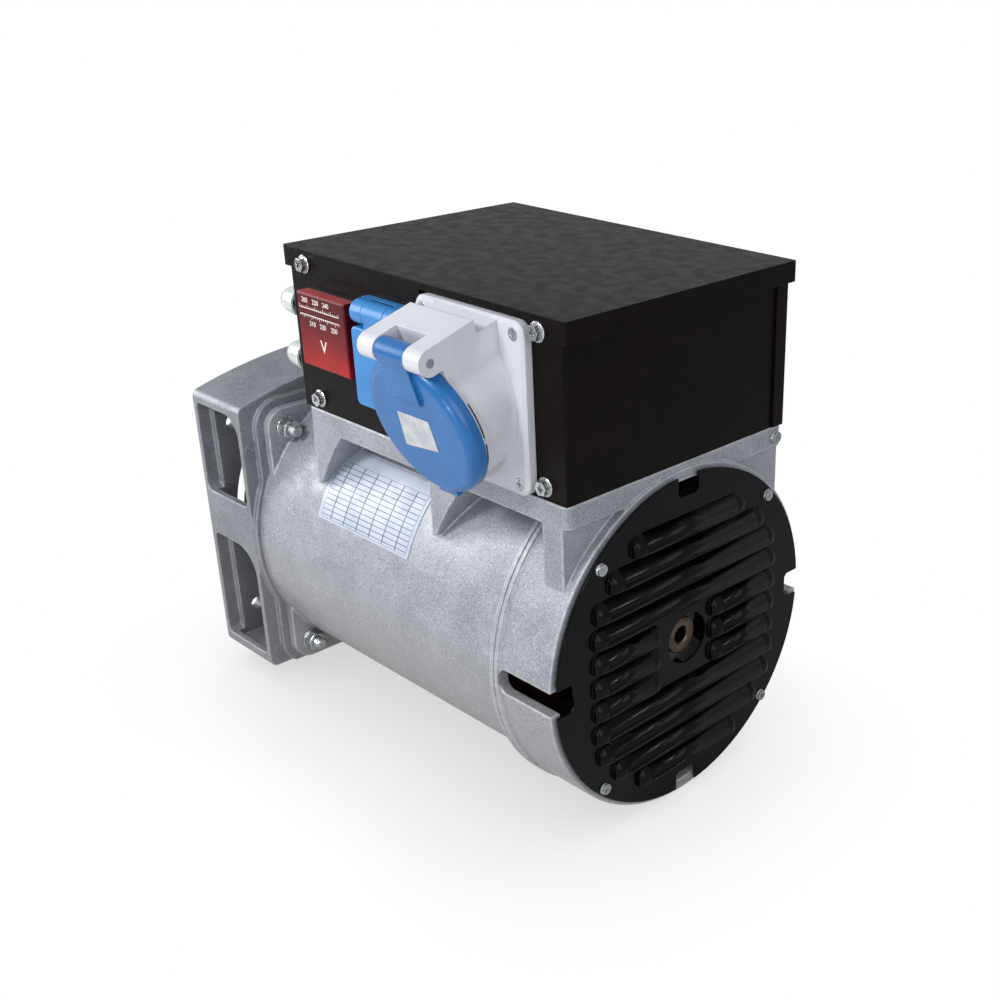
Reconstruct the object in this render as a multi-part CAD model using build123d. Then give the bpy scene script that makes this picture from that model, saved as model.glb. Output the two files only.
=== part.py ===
from build123d import *
import os
from math import atan2, cos, degrees, radians, sin, sqrt

# Single-bearing generator alternator head, millimetres.
# +X runs along the shaft from the engine face to the louvred rear cover, +Z is up and -Y is
# the socket side.  The origin is on the shaft axis in the engine's flange face.

# ---------------------------------------------------------------- driving dimensions
# clearances
SEAT_GAP = 0.05          # between pieces of one body that seat in each other
RUN_GAP = 0.05           # radial, between a pin or shaft and its bore
MOVE_GAP = 0.5           # between pieces that swing or slide past each other
OPEN_GAP = 0.3           # radial, round a screw that may float in its hole
CUT_OVER = 1.0           # how far a cutter runs past the face it cuts
FAR = 200.0              # reach of a cutter that takes all there is on one side

# engine adaptor, the open bell that bolts to the engine
ADAPTOR_DEPTH = 60.0
ADAPTOR_HALF_WIDTH = 111.0
ADAPTOR_SHOULDER_Z = 101.0
ADAPTOR_CROWN_Z = 118.0
ADAPTOR_BOTTOM_Z = -101.0
ADAPTOR_WALL = 5.0
ADAPTOR_CORNER_R = 6.0
ENGINE_PLATE = 8.0
HOUSING_PLATE = 6.0
ENGINE_BORE_R = 93.0
ENGINE_BOLT_Y = 88.0
ENGINE_BOLT_Z = 74.0
ENGINE_BOLT_R = 4.5
WINDOW_MARGIN = 3.5
UPPER_WINDOW_LOW_Z = 27.0
UPPER_WINDOW_TOP_Z = 94.0
LOWER_WINDOW_LOW_Z = -91.0
LOWER_WINDOW_TOP_Z = -7.0
WINDOW_CORNER_R = 5.0
UPPER_WINDOW_BIG_R = 16.0
LOWER_WINDOW_BIG_R = 22.0
PAD_HEIGHT = 4.0
PAD_MARGIN = 6.0
PAD_INSET = 0.5
STUD_BOSS_WALL = 5.0
STUD_BOSS_LENGTH = 18.0

# housing casting
HOUSING_R = 108.0
HOUSING_BORE_R = 100.0
LUG_Y = 81.0
LUG_Z = 84.0
LUG_CORNER_R = 14.0
FLANGE_THICK = 6.0
STEP_X = 320.0
REAR_R = 113.0
REAR_INNER_R = 106.0
REAR_X = 372.0
BEAD_PITCH = 4.0
BEAD_R = 1.4
SLOT_X = 328.0
SLOT_HALF_HEIGHT = 8.0
BASE_FRONT_X = 123.0
BASE_REAR_X = 370.0
BASE_HALF_WIDTH = 94.0
BASE_LOW_Z = 102.0
BASE_TOP_Z = 116.0
BASE_WALL = 6.0
GUSSET_TOP = 32.0
GUSSET_TIP_Z = 62.0
GUSSET_FRONT_X = 126.0
GUSSET_MIDDLE_X = 248.0
GUSSET_TIP = 3.0
GUSSET_CURVE = 0.48
REAR_WALL_X = 350.0
REAR_WALL_INSET = 4.0
WELL_FLOOR = 2.0
COVER_BOSS_R = 6.0
COVER_THREAD = 12.0
FOOT_HALF_WIDTH = 9.0
FOOT_THREAD = 14.0
SLOT_CORNER_R = 6.0
BASE_CORNER_R = 5.0

# stator and rotor
CORE_X = 115.0
CORE_LENGTH = 170.0
STATOR_SLOTS = 24
STATOR_SLOT_WIDTH = 8.0
STATOR_SLOT_DEPTH = 20.0
AIR_GAP = 0.5
ROTOR_R = 60.0
ROTOR_SHORTER = 5.0
END_TURN_LENGTH = 27.0
END_TURN_WALL = 22.0
END_TURN_ROUND = 5.0
WIRE_INSET = 0.4
SLOT_MOUTH = 2.0
POLE_HALF_WIDTH = 26.0
POLE_SHOE_Z = 42.0
COIL_GAP = 0.5
COIL_OVERHANG = 18.0
COIL_CORNER_R = 10.0
DIODE_R = 6.0
DIODE_LENGTH = 9.0
DIODE_LEAD_R = 1.2
DIODE_LEAD = 6.0
SHAFT_R = 22.5
SHAFT_MOUTH_X = 10.0
SHAFT_FAN_R = 20.0
SHAFT_END_X = 370.0
SHAFT_STEP = 10.0
SHAFT_NECK_WALL = 3.0
SHAFT_CHAMFER = 1.0
TAPER_MOUTH_R = 14.3
TAPER_END_R = 11.0
TAPER_LENGTH = 58.0
STAY_BOLT_HOLE_R = 5.5
FAN_X = 12.0
FAN_R = 90.0
FAN_PLATE = 3.0
FAN_BLADES = 12
FAN_BLADE_LENGTH = 32.0
FAN_BLADE_THICK = 3.0
FAN_EYE_R = 52.0
FAN_HUB_R = 30.0

# rear ball bearing, 25 x 52 x 15
BEARING_BORE_R = 12.5
BEARING_OUTER_R = 26.0
BEARING_WIDTH = 15.0
BEARING_X = 336.0
BALL_R = 4.0
BALLS = 9
RACE_LAND = 2.0

# bearing bracket
BRACKET_HUB_R = 34.0
BRACKET_LIP = 2.5
BRACKET_ARM_WIDTH = 18.0
BRACKET_ARM_THICK = 8.0
BRACKET_REACH = 99.0
BRACKET_SCREW_PCD = 182.0
BRACKET_SCREW_HEAD_R = 5.0
BRACKET_SCREW_HEAD = 6.0
BRACKET_SCREW_LENGTH = 20.0
BRACKET_SHOULDER = 3.0

# louvred rear cover
COVER_X = 375.0
COVER_R = 110.0
COVER_SHEET = 1.5
COVER_RIM = 3.0
COVER_HOLE_R = 17.0
COVER_SCREW_PCD = 210.0
COVER_SCREW_HEAD_R = 4.0
COVER_SCREW_HEAD = 2.6
COVER_SCREW_LENGTH = 13.0
NOTCH_HALF_WIDTH = 9.0
NOTCH_FLOOR_R = 97.0
LOUVRES = 11
LOUVRE_PITCH = 16.0
LOUVRE_TOP_Z = 79.0
LOUVRE_HEIGHT = 11.5
LOUVRE_PROUD = 6.0
LOUVRE_FIELD_R = 93.0
LOUVRE_MAX_Y = 82.0
LOUVRE_SPLIT_LEFT_Y = -26.0
LOUVRE_SPLIT_RIGHT_Y = 20.0

# terminal box
SHEET = 1.5
BOX_FRONT_X = 120.0
BOX_REAR_X = 371.0
BOX_HALF_WIDTH = 93.0
BOX_TOP_Z = 219.0
BOX_FLANGE = 25.0
LEAD_X = 299.0
LEAD_LENGTH = 24.0
LEAD_HALF_WIDTH = 35.0
LID_OVERHANG = 3.3
LID_FRONT_OVERHANG = 1.8
LID_SKIRT = 13.0
LID_TOP_Z = 221.0
FRONT_SCREW_TOP_Z = 212.0
FRONT_SCREW_LOW_Z = 124.0
FRONT_SCREW_INSET = 18.0
FRONT_SCREW_REAR_INSET = 15.0
BACK_SCREW_TOP_Z = 202.0
BACK_SCREW_LOW_Z = 131.0
BACK_SCREW_INSET = 10.0
BACK_FLANGE = 10.0
LID_CORNER_R = 1.5

# terminal board and capacitor on the box floor
BOARD_X = 200.0
BOARD_LENGTH = 90.0
BOARD_WIDTH = 60.0
BOARD_THICK = 14.0
BOARD_CORNER_R = 3.0
TERMINALS = 6
TERMINAL_INSET = 8.0
TERMINAL_PITCH = 14.8
TERMINAL_SEAT = 4.0
TERMINAL_LENGTH = 24.0
TERMINAL_NUT_FLATS = 8.0
TERMINAL_NUT = 4.0
CAPACITOR_X = 170.0
CAPACITOR_LENGTH = 90.0
CAPACITOR_R = 20.0
CAPACITOR_WALL_GAP = 11.0
CAPACITOR_TAG_R = 5.0
CAPACITOR_TAG = 8.0

# fasteners
M8_R = 4.0
M6_R = 3.0
M5_R = 2.5
M4_R = 2.0
M8_NUT_FLATS = 13.0
M8_NUT = 6.8
M8_WASHER_R = 8.0
M8_WASHER = 1.6
STUD_END = 15.0
PANEL_SCREW_WASHER_R = 5.8
PANEL_SCREW_WASHER = 1.2
PANEL_SCREW_FLATS = 8.0
PANEL_SCREW_HEAD = 3.4
PANEL_SCREW_LENGTH = 8.0
EARTH_SCREW_HEAD_R = 4.4
EARTH_SCREW_HEAD = 3.0
EARTH_SCREW_LENGTH = 5.0
EARTH_SCREW_INSET = 8.0

# voltmeter
METER_INSET = 23.5
METER_Z = 152.0
METER_WIDTH = 49.5
METER_HEIGHT = 46.5
METER_PROUD = 13.0
METER_DEPTH = 34.0
METER_BARREL = 43.0
METER_BEZEL = 4.0
METER_EDGE_R = 1.2

# household side-earth socket with a sprung lid
HOUSE_METER_GAP = 6.5
HOUSE_Z = 139.0
HOUSE_SIZE = 50.0
HOUSE_BASE = 5.0
HOUSE_BODY_R = 22.0
HOUSE_DEPTH = 32.0
HOUSE_RECESS_R = 19.5
HOUSE_RECESS = 17.5
HOUSE_LID_THICK = 9.0
HOUSE_BARREL_R = 7.5
HOUSE_BARREL_LENGTH = 42.0
HOUSE_PIN_R = 2.0
HOUSE_PIN_HOLE_R = 2.4
HOUSE_PIN_PITCH = 19.0
HOUSE_PIN_HOLE = 12.0
HOUSE_FLANGE_R = 3.0
HOUSE_LID_INSET = 1.0
HOUSE_LID_CORNER_R = 4.0
HOUSE_LID_EDGE_R = 1.5
HOUSE_LID_SKIN = 2.5
HOUSE_LID_CUP = 2.0
HOUSE_ARM = 6.0
CLIP_WIDTH = 6.0
CLIP_THICK = 1.8
CLIP_WALL_GAP = 1.4
CLIP_START = 3.0

# industrial round-pin socket
IND_REAR_INSET = 71.0
IND_Z = 166.0
IND_WIDTH = 92.0
IND_HEIGHT = 100.0
IND_FLANGE = 7.0
IND_FIX_Y = 77.0
IND_FIX_Z = 85.0
IND_TILT = 17.0
IND_LEAN = 2.0
IND_COLLAR_R = 40.0
IND_COLLAR_WALL = 4.0
IND_MOUTH = 27.0
IND_LID_R = 42.5
IND_LID_THICK = 10.0
IND_LID_WALL = 3.0
IND_INSERT_R = 21.0
IND_INSERT_BACK = 14.0
IND_RECESS = 8.0
IND_SLEEVE_R = 3.0
IND_PIN_CIRCLE_R = 11.5
IND_HINGE_OUT = 6.0
IND_HINGE_RISE = 46.0
IND_PIN_R = 2.5
IND_ARM_WIDTH = 25.0
IND_CHEEK = 14.0
IND_KNUCKLE_R = 7.5
IND_FLANGE_CORNER_R = 8.0
IND_FLANGE_CHAMFER = 2.0
IND_POCKET = 9.0
IND_POCKET_DEPTH = 6.0
IND_SINK_R = 4.0
IND_SINK = 2.2
IND_SCREW_HEAD_R = 3.7
IND_SCREW_HEAD = 2.0
IND_SCREW_LENGTH = 10.0
IND_WEB = 4.0
IND_SLEEVE_WALL = 0.7
IND_SLEEVE_TAIL = 6.0
IND_SLEEVE_FLOOR = 12.0
IND_LID_EDGE_R = 6.0
IND_LIP_WIDTH = 16.0
IND_LIP = 10.0
IND_LIP_THICK = 4.0
IND_LIP_LIFT = 2.0
IND_ARM_REACH = 24.0
IND_ARM_STEP = 2.0
IND_ARM_EDGE_R = 3.0
IND_SEAL = 3.0
IND_SEAL_WIDTH = 5.0

# two thermal breakers with clear rubber boots
BREAKER_PANEL_GAP = 8.0
BREAKER_Z = (182.0, 146.0)
BREAKER_NECK_R = 5.5
BREAKER_NECK = 10.0
BREAKER_NUT = 3.0
BREAKER_BUTTON_R = 3.0
BREAKER_TRAVEL = 3.0
BREAKER_BODY = 20.0
BREAKER_HALF_HEIGHT = 12.0
BREAKER_NEAR = 4.0
BREAKER_FAR = 18.0
BREAKER_NUT_FLATS = 14.0
BREAKER_BUTTON_HOLE = 14.0
BREAKER_BUTTON_PROUD = 1.0
BOOT_R = 9.5
BOOT_LENGTH = 22.0
BOOT_WALL = 1.4

# derived stations
HOUSING_X = ADAPTOR_DEPTH + PAD_HEIGHT
ROTOR_X = CORE_X + ROTOR_SHORTER
ROTOR_LENGTH = CORE_LENGTH - 2 * ROTOR_SHORTER
STATOR_BORE_R = ROTOR_R + AIR_GAP
PANEL_Y = -BOX_HALF_WIDTH
BREAKER_Y = PANEL_Y + BREAKER_PANEL_GAP
CAPACITOR_Y = BOX_HALF_WIDTH - CAPACITOR_WALL_GAP - CAPACITOR_R
METER_X = BOX_FRONT_X + METER_INSET
HOUSE_X = METER_X + METER_WIDTH + HOUSE_METER_GAP
IND_X = BOX_REAR_X - IND_REAR_INSET
FACE_CENTRE = (Align.CENTER, Align.CENTER, Align.MIN)
LOW_CORNER = (Align.MIN, Align.MIN, Align.MIN)
nodes = {}


# ---------------------------------------------------------------- shape helpers
def bar_x(radius, start, end, y=0.0, z=0.0):
    """Round bar along X from start to end."""
    bar = Cylinder(radius, end - start, align=FACE_CENTRE)
    return Pos(start, y, z) * Rot(0, 90, 0) * bar


def bar_y(radius, start, end, x=0.0, z=0.0):
    """Round bar along Y from start to end."""
    bar = Cylinder(radius, end - start, align=FACE_CENTRE)
    return Pos(x, start, z) * Rot(-90, 0, 0) * bar


def bar_z(radius, start, end, x=0.0, y=0.0):
    """Round bar along Z from start to end."""
    return Pos(x, y, start) * Cylinder(radius, end - start, align=FACE_CENTRE)


def tube_x(outer, inner, start, end, y=0.0, z=0.0):
    """Round tube along X."""
    return bar_x(outer, start, end, y, z) - bar_x(inner, start - 1, end + 1, y, z)


def block(low, high):
    """Box between two corners."""
    size = [b - a for a, b in zip(low, high)]
    return Pos(*low) * Box(*size, align=LOW_CORNER)


def section_x(face, start, length):
    """Extrude a face drawn in Y, Z from start along +X."""
    at = Plane(origin=(start, 0, 0), x_dir=(0, 1, 0), z_dir=(1, 0, 0))
    return extrude(at * face, length)


def section_y(face, start, length):
    """Extrude a face drawn in X, Z from start along -Y."""
    at = Plane(origin=(0, start, 0), x_dir=(1, 0, 0), z_dir=(0, -1, 0))
    return extrude(at * face, length)


def hexagon_bar(flats, length):
    """Hexagonal bar standing on the XY plane."""
    return extrude(RegularPolygon(flats / 2, 6, major_radius=False), length)


def turned(points):
    """Solid of revolution about X from a closed outline in X and radius."""
    outline = make_face(Polyline(*[(x, 0, r) for x, r in points], close=True))
    return revolve(outline, Axis.X)


def mirrored_pairs(y, z):
    """The four places at plus and minus y and z."""
    return [(sy * y, sz * z) for sy in (-1, 1) for sz in (-1, 1)]


def keep(name, shape):
    """Store the solids of one node."""
    solids = list(shape.solids()) if hasattr(shape, "solids") else []
    if not solids:
        for piece in shape:
            solids.extend(piece.solids())
    nodes[name] = Compound(children=solids) if len(solids) > 1 else solids[0]


# ---------------------------------------------------------------- engine adaptor
def adaptor_outline(inset):
    """Flat-bottomed outline with a crowned top, drawn in Y and Z."""
    half = ADAPTOR_HALF_WIDTH - inset
    low = ADAPTOR_BOTTOM_Z + inset
    shoulder = ADAPTOR_SHOULDER_Z - inset
    crown = ADAPTOR_CROWN_Z - inset
    sides = Polyline((-half, shoulder), (-half, low), (half, low), (half, shoulder))
    top = ThreePointArc((half, shoulder), (0, crown), (-half, shoulder))
    face = make_face([*sides.edges(), top])
    return fillet(face.vertices(), max(ADAPTOR_CORNER_R - inset, 1.0))


def lug_outline(grow):
    """Round flange with four square lugs, drawn in Y and Z."""
    radius = min(HOUSING_R + grow, ADAPTOR_HALF_WIDTH)
    width = 2 * (LUG_Y + LUG_CORNER_R + grow)
    height = 2 * (LUG_Z + LUG_CORNER_R + grow)
    lugs = RectangleRounded(width, height, LUG_CORNER_R + grow)
    return Circle(radius) + lugs


def window_cutter(low_z, top_z, corner, big_corner):
    """Cutter for one pair of side windows, drawn in X and Z."""
    width = ADAPTOR_DEPTH - 2 * WINDOW_MARGIN
    middle = (low_z + top_z) / 2
    face = Pos(ADAPTOR_DEPTH / 2, middle) * Rectangle(width, top_z - low_z)
    ordered = face.vertices().sort_by(Axis.X)
    late = ordered[2:].sort_by(Axis.Y)[-1]
    others = [v for v in face.vertices() if v != late]
    face = fillet(others, corner)
    late = face.vertices().sort_by_distance((ADAPTOR_DEPTH - WINDOW_MARGIN, top_z))[0]
    face = fillet(late, big_corner)
    reach = ADAPTOR_HALF_WIDTH + CUT_OVER
    return section_y(face, reach, 2 * reach)


def engine_adaptor():
    """Cast bell: engine plate, hollow body with side windows, housing plate."""
    body = section_x(adaptor_outline(0), 0, ADAPTOR_DEPTH)
    cavity_depth = ADAPTOR_DEPTH - ENGINE_PLATE - HOUSING_PLATE
    body -= section_x(adaptor_outline(ADAPTOR_WALL), ENGINE_PLATE, cavity_depth)
    body -= bar_x(ENGINE_BORE_R, -1, ENGINE_PLATE + 1)
    body -= bar_x(HOUSING_BORE_R, ADAPTOR_DEPTH - HOUSING_PLATE - 1, ADAPTOR_DEPTH + 1)
    clear = ADAPTOR_HALF_WIDTH - 2 * ADAPTOR_WALL
    windows = window_cutter(UPPER_WINDOW_LOW_Z, UPPER_WINDOW_TOP_Z, WINDOW_CORNER_R, UPPER_WINDOW_BIG_R)
    windows += window_cutter(LOWER_WINDOW_LOW_Z, LOWER_WINDOW_TOP_Z, WINDOW_CORNER_R, LOWER_WINDOW_BIG_R)
    middle = block(
        (-CUT_OVER, -clear, ADAPTOR_BOTTOM_Z),
        (ADAPTOR_DEPTH + CUT_OVER, clear, ADAPTOR_CROWN_Z),
    )
    body -= windows - middle
    pad = section_x(lug_outline(PAD_MARGIN), ADAPTOR_DEPTH, PAD_HEIGHT)
    pad &= section_x(adaptor_outline(PAD_INSET), ADAPTOR_DEPTH, PAD_HEIGHT)
    pad -= bar_x(HOUSING_BORE_R, ADAPTOR_DEPTH - 1, HOUSING_X + 1)
    body += pad
    for y, z in mirrored_pairs(ENGINE_BOLT_Y, ENGINE_BOLT_Z):
        body -= bar_x(ENGINE_BOLT_R, -1, ENGINE_PLATE + 1, y, z)
    for y, z in mirrored_pairs(LUG_Y, LUG_Z):
        start = ADAPTOR_DEPTH - STUD_BOSS_LENGTH
        body += bar_x(M8_R + STUD_BOSS_WALL, start, ADAPTOR_DEPTH, y, z)
        body -= bar_x(M8_R + SEAT_GAP, start - CUT_OVER, HOUSING_X + CUT_OVER, y, z)
    return body


# ---------------------------------------------------------------- housing
def gusset(start_x):
    """Triangular web under the terminal box base, on both sides."""
    end_x = start_x + GUSSET_TOP
    top_z = BASE_LOW_Z + CUT_OVER
    tip_x = start_x + GUSSET_TIP
    middle = (start_x + GUSSET_TOP * GUSSET_CURVE, (GUSSET_TIP_Z + BASE_LOW_Z) / 2)
    side = Polyline((start_x, top_z), (start_x, GUSSET_TIP_Z), (tip_x, GUSSET_TIP_Z))
    curve = ThreePointArc((tip_x, GUSSET_TIP_Z), middle, (end_x, top_z))
    top = Line((end_x, top_z), (start_x, top_z))
    face = make_face([*side.edges(), curve, top])
    return section_y(face, BASE_HALF_WIDTH, 2 * BASE_HALF_WIDTH)


def main_housing():
    """Cast cylinder with the box base, the lugs and the wider rear section."""
    body = section_x(lug_outline(0), HOUSING_X, FLANGE_THICK)
    body += bar_x(HOUSING_R, HOUSING_X, STEP_X + CUT_OVER)
    body += bar_x(REAR_R, STEP_X, REAR_X)
    body += box_base()
    for start_x in (GUSSET_FRONT_X, GUSSET_MIDDLE_X):
        body += gusset(start_x)
    body += rear_wall()
    body -= base_well()
    body -= lead_cut(0, BASE_TOP_Z)
    body -= bar_x(HOUSING_BORE_R, HOUSING_X - CUT_OVER, STEP_X + CUT_OVER)
    body -= bar_x(REAR_INNER_R, STEP_X, REAR_X + CUT_OVER)
    for step in (0, 1):
        start = STEP_X + BEAD_R + step * BEAD_PITCH
        body += tube_x(REAR_R + BEAD_R, REAR_R - CUT_OVER, start, start + 2 * BEAD_R)
    body -= side_slots()
    flange_end = HOUSING_X + FLANGE_THICK
    for y, z in mirrored_pairs(LUG_Y, LUG_Z):
        body -= bar_x(M8_R + SEAT_GAP, HOUSING_X - CUT_OVER, flange_end + CUT_OVER, y, z)
    inside = bar_x(REAR_R - CUT_OVER, STEP_X - CUT_OVER, REAR_X + CUT_OVER)
    for y, z in ring_places(COVER_SCREW_PCD):
        body += bar_x(COVER_BOSS_R, BEARING_X + BEARING_WIDTH, REAR_X, y, z) & inside
        body -= bar_x(M4_R + SEAT_GAP, REAR_X - COVER_THREAD, REAR_X + CUT_OVER, y, z)
    for y, z in ring_places(BRACKET_SCREW_PCD):
        body += foot_pillar(y, z) & inside
        foot_x = bracket_foot_x()
        body -= bar_x(M6_R + SEAT_GAP, foot_x - FOOT_THREAD, foot_x + CUT_OVER, y, z)
    y, z = earth_place()
    return body - bar_x(M5_R + SEAT_GAP, BASE_REAR_X - BASE_WALL, BASE_REAR_X + CUT_OVER, y, z)


def box_base():
    """Solid base that carries the terminal box."""
    low = (BASE_FRONT_X, -BASE_HALF_WIDTH, BASE_LOW_Z)
    base = block(low, (BASE_REAR_X, BASE_HALF_WIDTH, BASE_TOP_Z))
    return fillet(base.edges().filter_by(Axis.Z), BASE_CORNER_R)


def base_well():
    """Hollow of the base, open at the top."""
    half = BASE_HALF_WIDTH - BASE_WALL
    low = (BASE_FRONT_X + BASE_WALL, -half, HOUSING_R + WELL_FLOOR)
    return block(low, (BASE_REAR_X - BASE_WALL, half, BASE_TOP_Z + CUT_OVER))


def rear_wall():
    """Wall between the rear section and the base."""
    low_z = sqrt(REAR_R ** 2 - BASE_HALF_WIDTH ** 2) - REAR_WALL_INSET
    low = (REAR_WALL_X, -BASE_HALF_WIDTH, low_z)
    return block(low, (BASE_REAR_X - REAR_WALL_INSET, BASE_HALF_WIDTH, BASE_LOW_Z))


def side_slots():
    """Air slots in both sides of the rear section, open to the rear."""
    reach = REAR_R + 2 * BEAD_R
    slot = block((SLOT_X, -reach, -SLOT_HALF_HEIGHT), (REAR_X + CUT_OVER, reach, SLOT_HALF_HEIGHT))
    return fillet(slot.edges().filter_by(Axis.Y).sort_by(Axis.X)[:2], SLOT_CORNER_R)


def foot_pillar(y, z):
    """Pillar that carries one arm of the bearing bracket."""
    pillar = block(
        (STEP_X, BRACKET_SCREW_PCD / 2 - FOOT_HALF_WIDTH, -FOOT_HALF_WIDTH),
        (bracket_foot_x(), REAR_INNER_R + CUT_OVER, FOOT_HALF_WIDTH),
    )
    return Rot(degrees(atan2(z, y)), 0, 0) * pillar


def ring_places(pitch_circle):
    """The four places at 45 degrees on a pitch circle, in Y and Z."""
    place = pitch_circle / 2 * sin(radians(45))
    return mirrored_pairs(place, place)


def earth_place():
    """Y and Z of the earth screw in the rear face of the base."""
    return BASE_HALF_WIDTH - EARTH_SCREW_INSET, (BASE_LOW_Z + BASE_TOP_Z) / 2


def lead_cut(low_z, high_z):
    """Way for the leads from the end turns up into the terminal box."""
    half = LEAD_LENGTH / 2
    return block((LEAD_X - half, -LEAD_HALF_WIDTH, low_z), (LEAD_X + half, LEAD_HALF_WIDTH, high_z))


def bracket_foot_x():
    """Front face of the bearing bracket's arms."""
    return BEARING_X + (BEARING_WIDTH - BRACKET_ARM_THICK) / 2


def rear_bearing_bracket():
    """Four-armed spider that carries the rear bearing."""
    foot_x = bracket_foot_x() + SEAT_GAP
    end_x = foot_x + BRACKET_ARM_THICK
    half = BRACKET_ARM_WIDTH / 2
    spider = bar_x(BRACKET_HUB_R, BEARING_X - BRACKET_LIP, BEARING_X + BEARING_WIDTH)
    for y, z in ring_places(BRACKET_SCREW_PCD):
        arm = block((foot_x, BRACKET_HUB_R / 2 + half, -half), (end_x, BRACKET_REACH, half))
        arm = fillet(arm.edges().filter_by(Axis.X).sort_by(Axis.Y)[2:], SLOT_CORNER_R)
        spider += Rot(degrees(atan2(z, y)), 0, 0) * arm
    seat_end = BEARING_X + BEARING_WIDTH + CUT_OVER
    spider -= bar_x(BEARING_OUTER_R + SEAT_GAP, BEARING_X, seat_end)
    lip_start = BEARING_X - BRACKET_LIP - CUT_OVER
    spider -= bar_x(BEARING_OUTER_R - BRACKET_SHOULDER, lip_start, BEARING_X + CUT_OVER)
    for y, z in ring_places(BRACKET_SCREW_PCD):
        spider -= bar_x(M6_R + SEAT_GAP, foot_x - CUT_OVER, end_x + CUT_OVER, y, z)
    return spider


# ---------------------------------------------------------------- rear cover
def louvre_runs():
    """Y and Z of both ends of each louvre, the middle three rows split round the hole."""
    runs = []
    for row in range(LOUVRES):
        z = LOUVRE_TOP_Z - row * LOUVRE_PITCH
        reach = min(LOUVRE_MAX_Y, sqrt(LOUVRE_FIELD_R ** 2 - z ** 2))
        if abs(z) <= LOUVRE_PITCH:
            runs.append((-reach, LOUVRE_SPLIT_LEFT_Y, z))
            runs.append((LOUVRE_SPLIT_RIGHT_Y, reach, z))
        else:
            runs.append((-reach, reach, z))
    return runs


def louvre_wedge(left, right, z, height, proud):
    """Round-ended hood that rises from its top edge to its open lower edge."""
    length = right - left
    face = Pos((left + right) / 2, z) * SlotOverall(length, height)
    prism = section_x(face, COVER_X - COVER_SHEET, proud + COVER_SHEET + CUT_OVER)
    rise = make_face(Polyline(
        (COVER_X - COVER_SHEET - 1, z + height), (COVER_X, z + height), (COVER_X, z + height / 2),
        (COVER_X + proud * 0.72, z), (COVER_X + proud, z - height / 3), (COVER_X + proud, z - height),
        (COVER_X - COVER_SHEET - 1, z - height), close=True))
    return prism & section_y(rise, right + CUT_OVER, length + 2 * CUT_OVER)


def rear_cover():
    """Pressed disc with a rolled rim, four notches and rows of louvres."""
    disc = bar_x(COVER_R, COVER_X - COVER_SHEET, COVER_X)
    disc += tube_x(COVER_R, COVER_R - COVER_SHEET, COVER_X - COVER_RIM + SEAT_GAP, COVER_X)
    for turn in range(4):
        low = (COVER_X - FAR, -NOTCH_HALF_WIDTH, NOTCH_FLOOR_R)
        cut = block(low, (COVER_X + FAR, NOTCH_HALF_WIDTH, COVER_R + CUT_OVER))
        disc -= Rot(90 * turn, 0, 0) * cut
    disc -= bar_x(COVER_HOLE_R, COVER_X - FAR, COVER_X + CUT_OVER)
    for left, right, z in louvre_runs():
        outer = louvre_wedge(left, right, z, LOUVRE_HEIGHT, LOUVRE_PROUD)
        ends = (left + COVER_SHEET, right - COVER_SHEET)
        height = LOUVRE_HEIGHT - COVER_SHEET + OPEN_GAP
        inner = louvre_wedge(*ends, z - COVER_SHEET, height, LOUVRE_PROUD - COVER_SHEET)
        disc += outer
        disc -= inner
    for y, z in ring_places(COVER_SCREW_PCD):
        disc -= bar_x(M4_R + OPEN_GAP, COVER_X - FAR, COVER_X + CUT_OVER, y, z)
    return disc


# ---------------------------------------------------------------- stator and rotor
def slot_middle_r():
    """Radius of the middle of a winding slot."""
    return STATOR_BORE_R + STATOR_SLOT_DEPTH / 2 + SLOT_MOUTH


def stator_core():
    """Laminated ring with open winding slots."""
    core = Circle(HOUSING_BORE_R - SEAT_GAP) - Circle(STATOR_BORE_R)
    slot = Pos(slot_middle_r(), 0) * Rectangle(STATOR_SLOT_DEPTH, STATOR_SLOT_WIDTH)
    for turn in range(STATOR_SLOTS):
        core -= Rot(0, 0, 360 / STATOR_SLOTS * turn) * slot
    return section_x(core, CORE_X, CORE_LENGTH)


def stator_winding():
    """Slot bars joined by an end-turn ring at each end."""
    depth = STATOR_SLOT_DEPTH - 2 * WIRE_INSET
    face = Pos(slot_middle_r(), 0) * Rectangle(depth, STATOR_SLOT_WIDTH - 2 * WIRE_INSET)
    bar = section_x(face, CORE_X - CUT_OVER, CORE_LENGTH + 2 * CUT_OVER)
    bars = [Rot(360 / STATOR_SLOTS * turn, 0, 0) * bar for turn in range(STATOR_SLOTS)]
    low = STATOR_BORE_R + 2 * SLOT_MOUTH
    high = low + END_TURN_WALL
    front = CORE_X - END_TURN_LENGTH
    back = CORE_X - WIRE_INSET
    ring = turned([
        (front, low + END_TURN_ROUND),
        (front, high - END_TURN_ROUND),
        (front + END_TURN_ROUND, high),
        (back, high),
        (back, low),
        (front + END_TURN_ROUND, low),
    ])
    middle = Plane(origin=(CORE_X + CORE_LENGTH / 2, 0, 0), z_dir=(1, 0, 0))
    return ring + bars + mirror(ring, middle)


def rotor_core():
    """Two-pole laminated core with deep winding channels."""
    core = Circle(ROTOR_R) - Circle(SHAFT_R + SEAT_GAP)
    for side in (-1, 1):
        channel = Pos(side * (POLE_HALF_WIDTH + ROTOR_R / 2), 0) * Rectangle(ROTOR_R, 2 * POLE_SHOE_Z)
        core -= channel
    return section_x(core, ROTOR_X, ROTOR_LENGTH)


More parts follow.
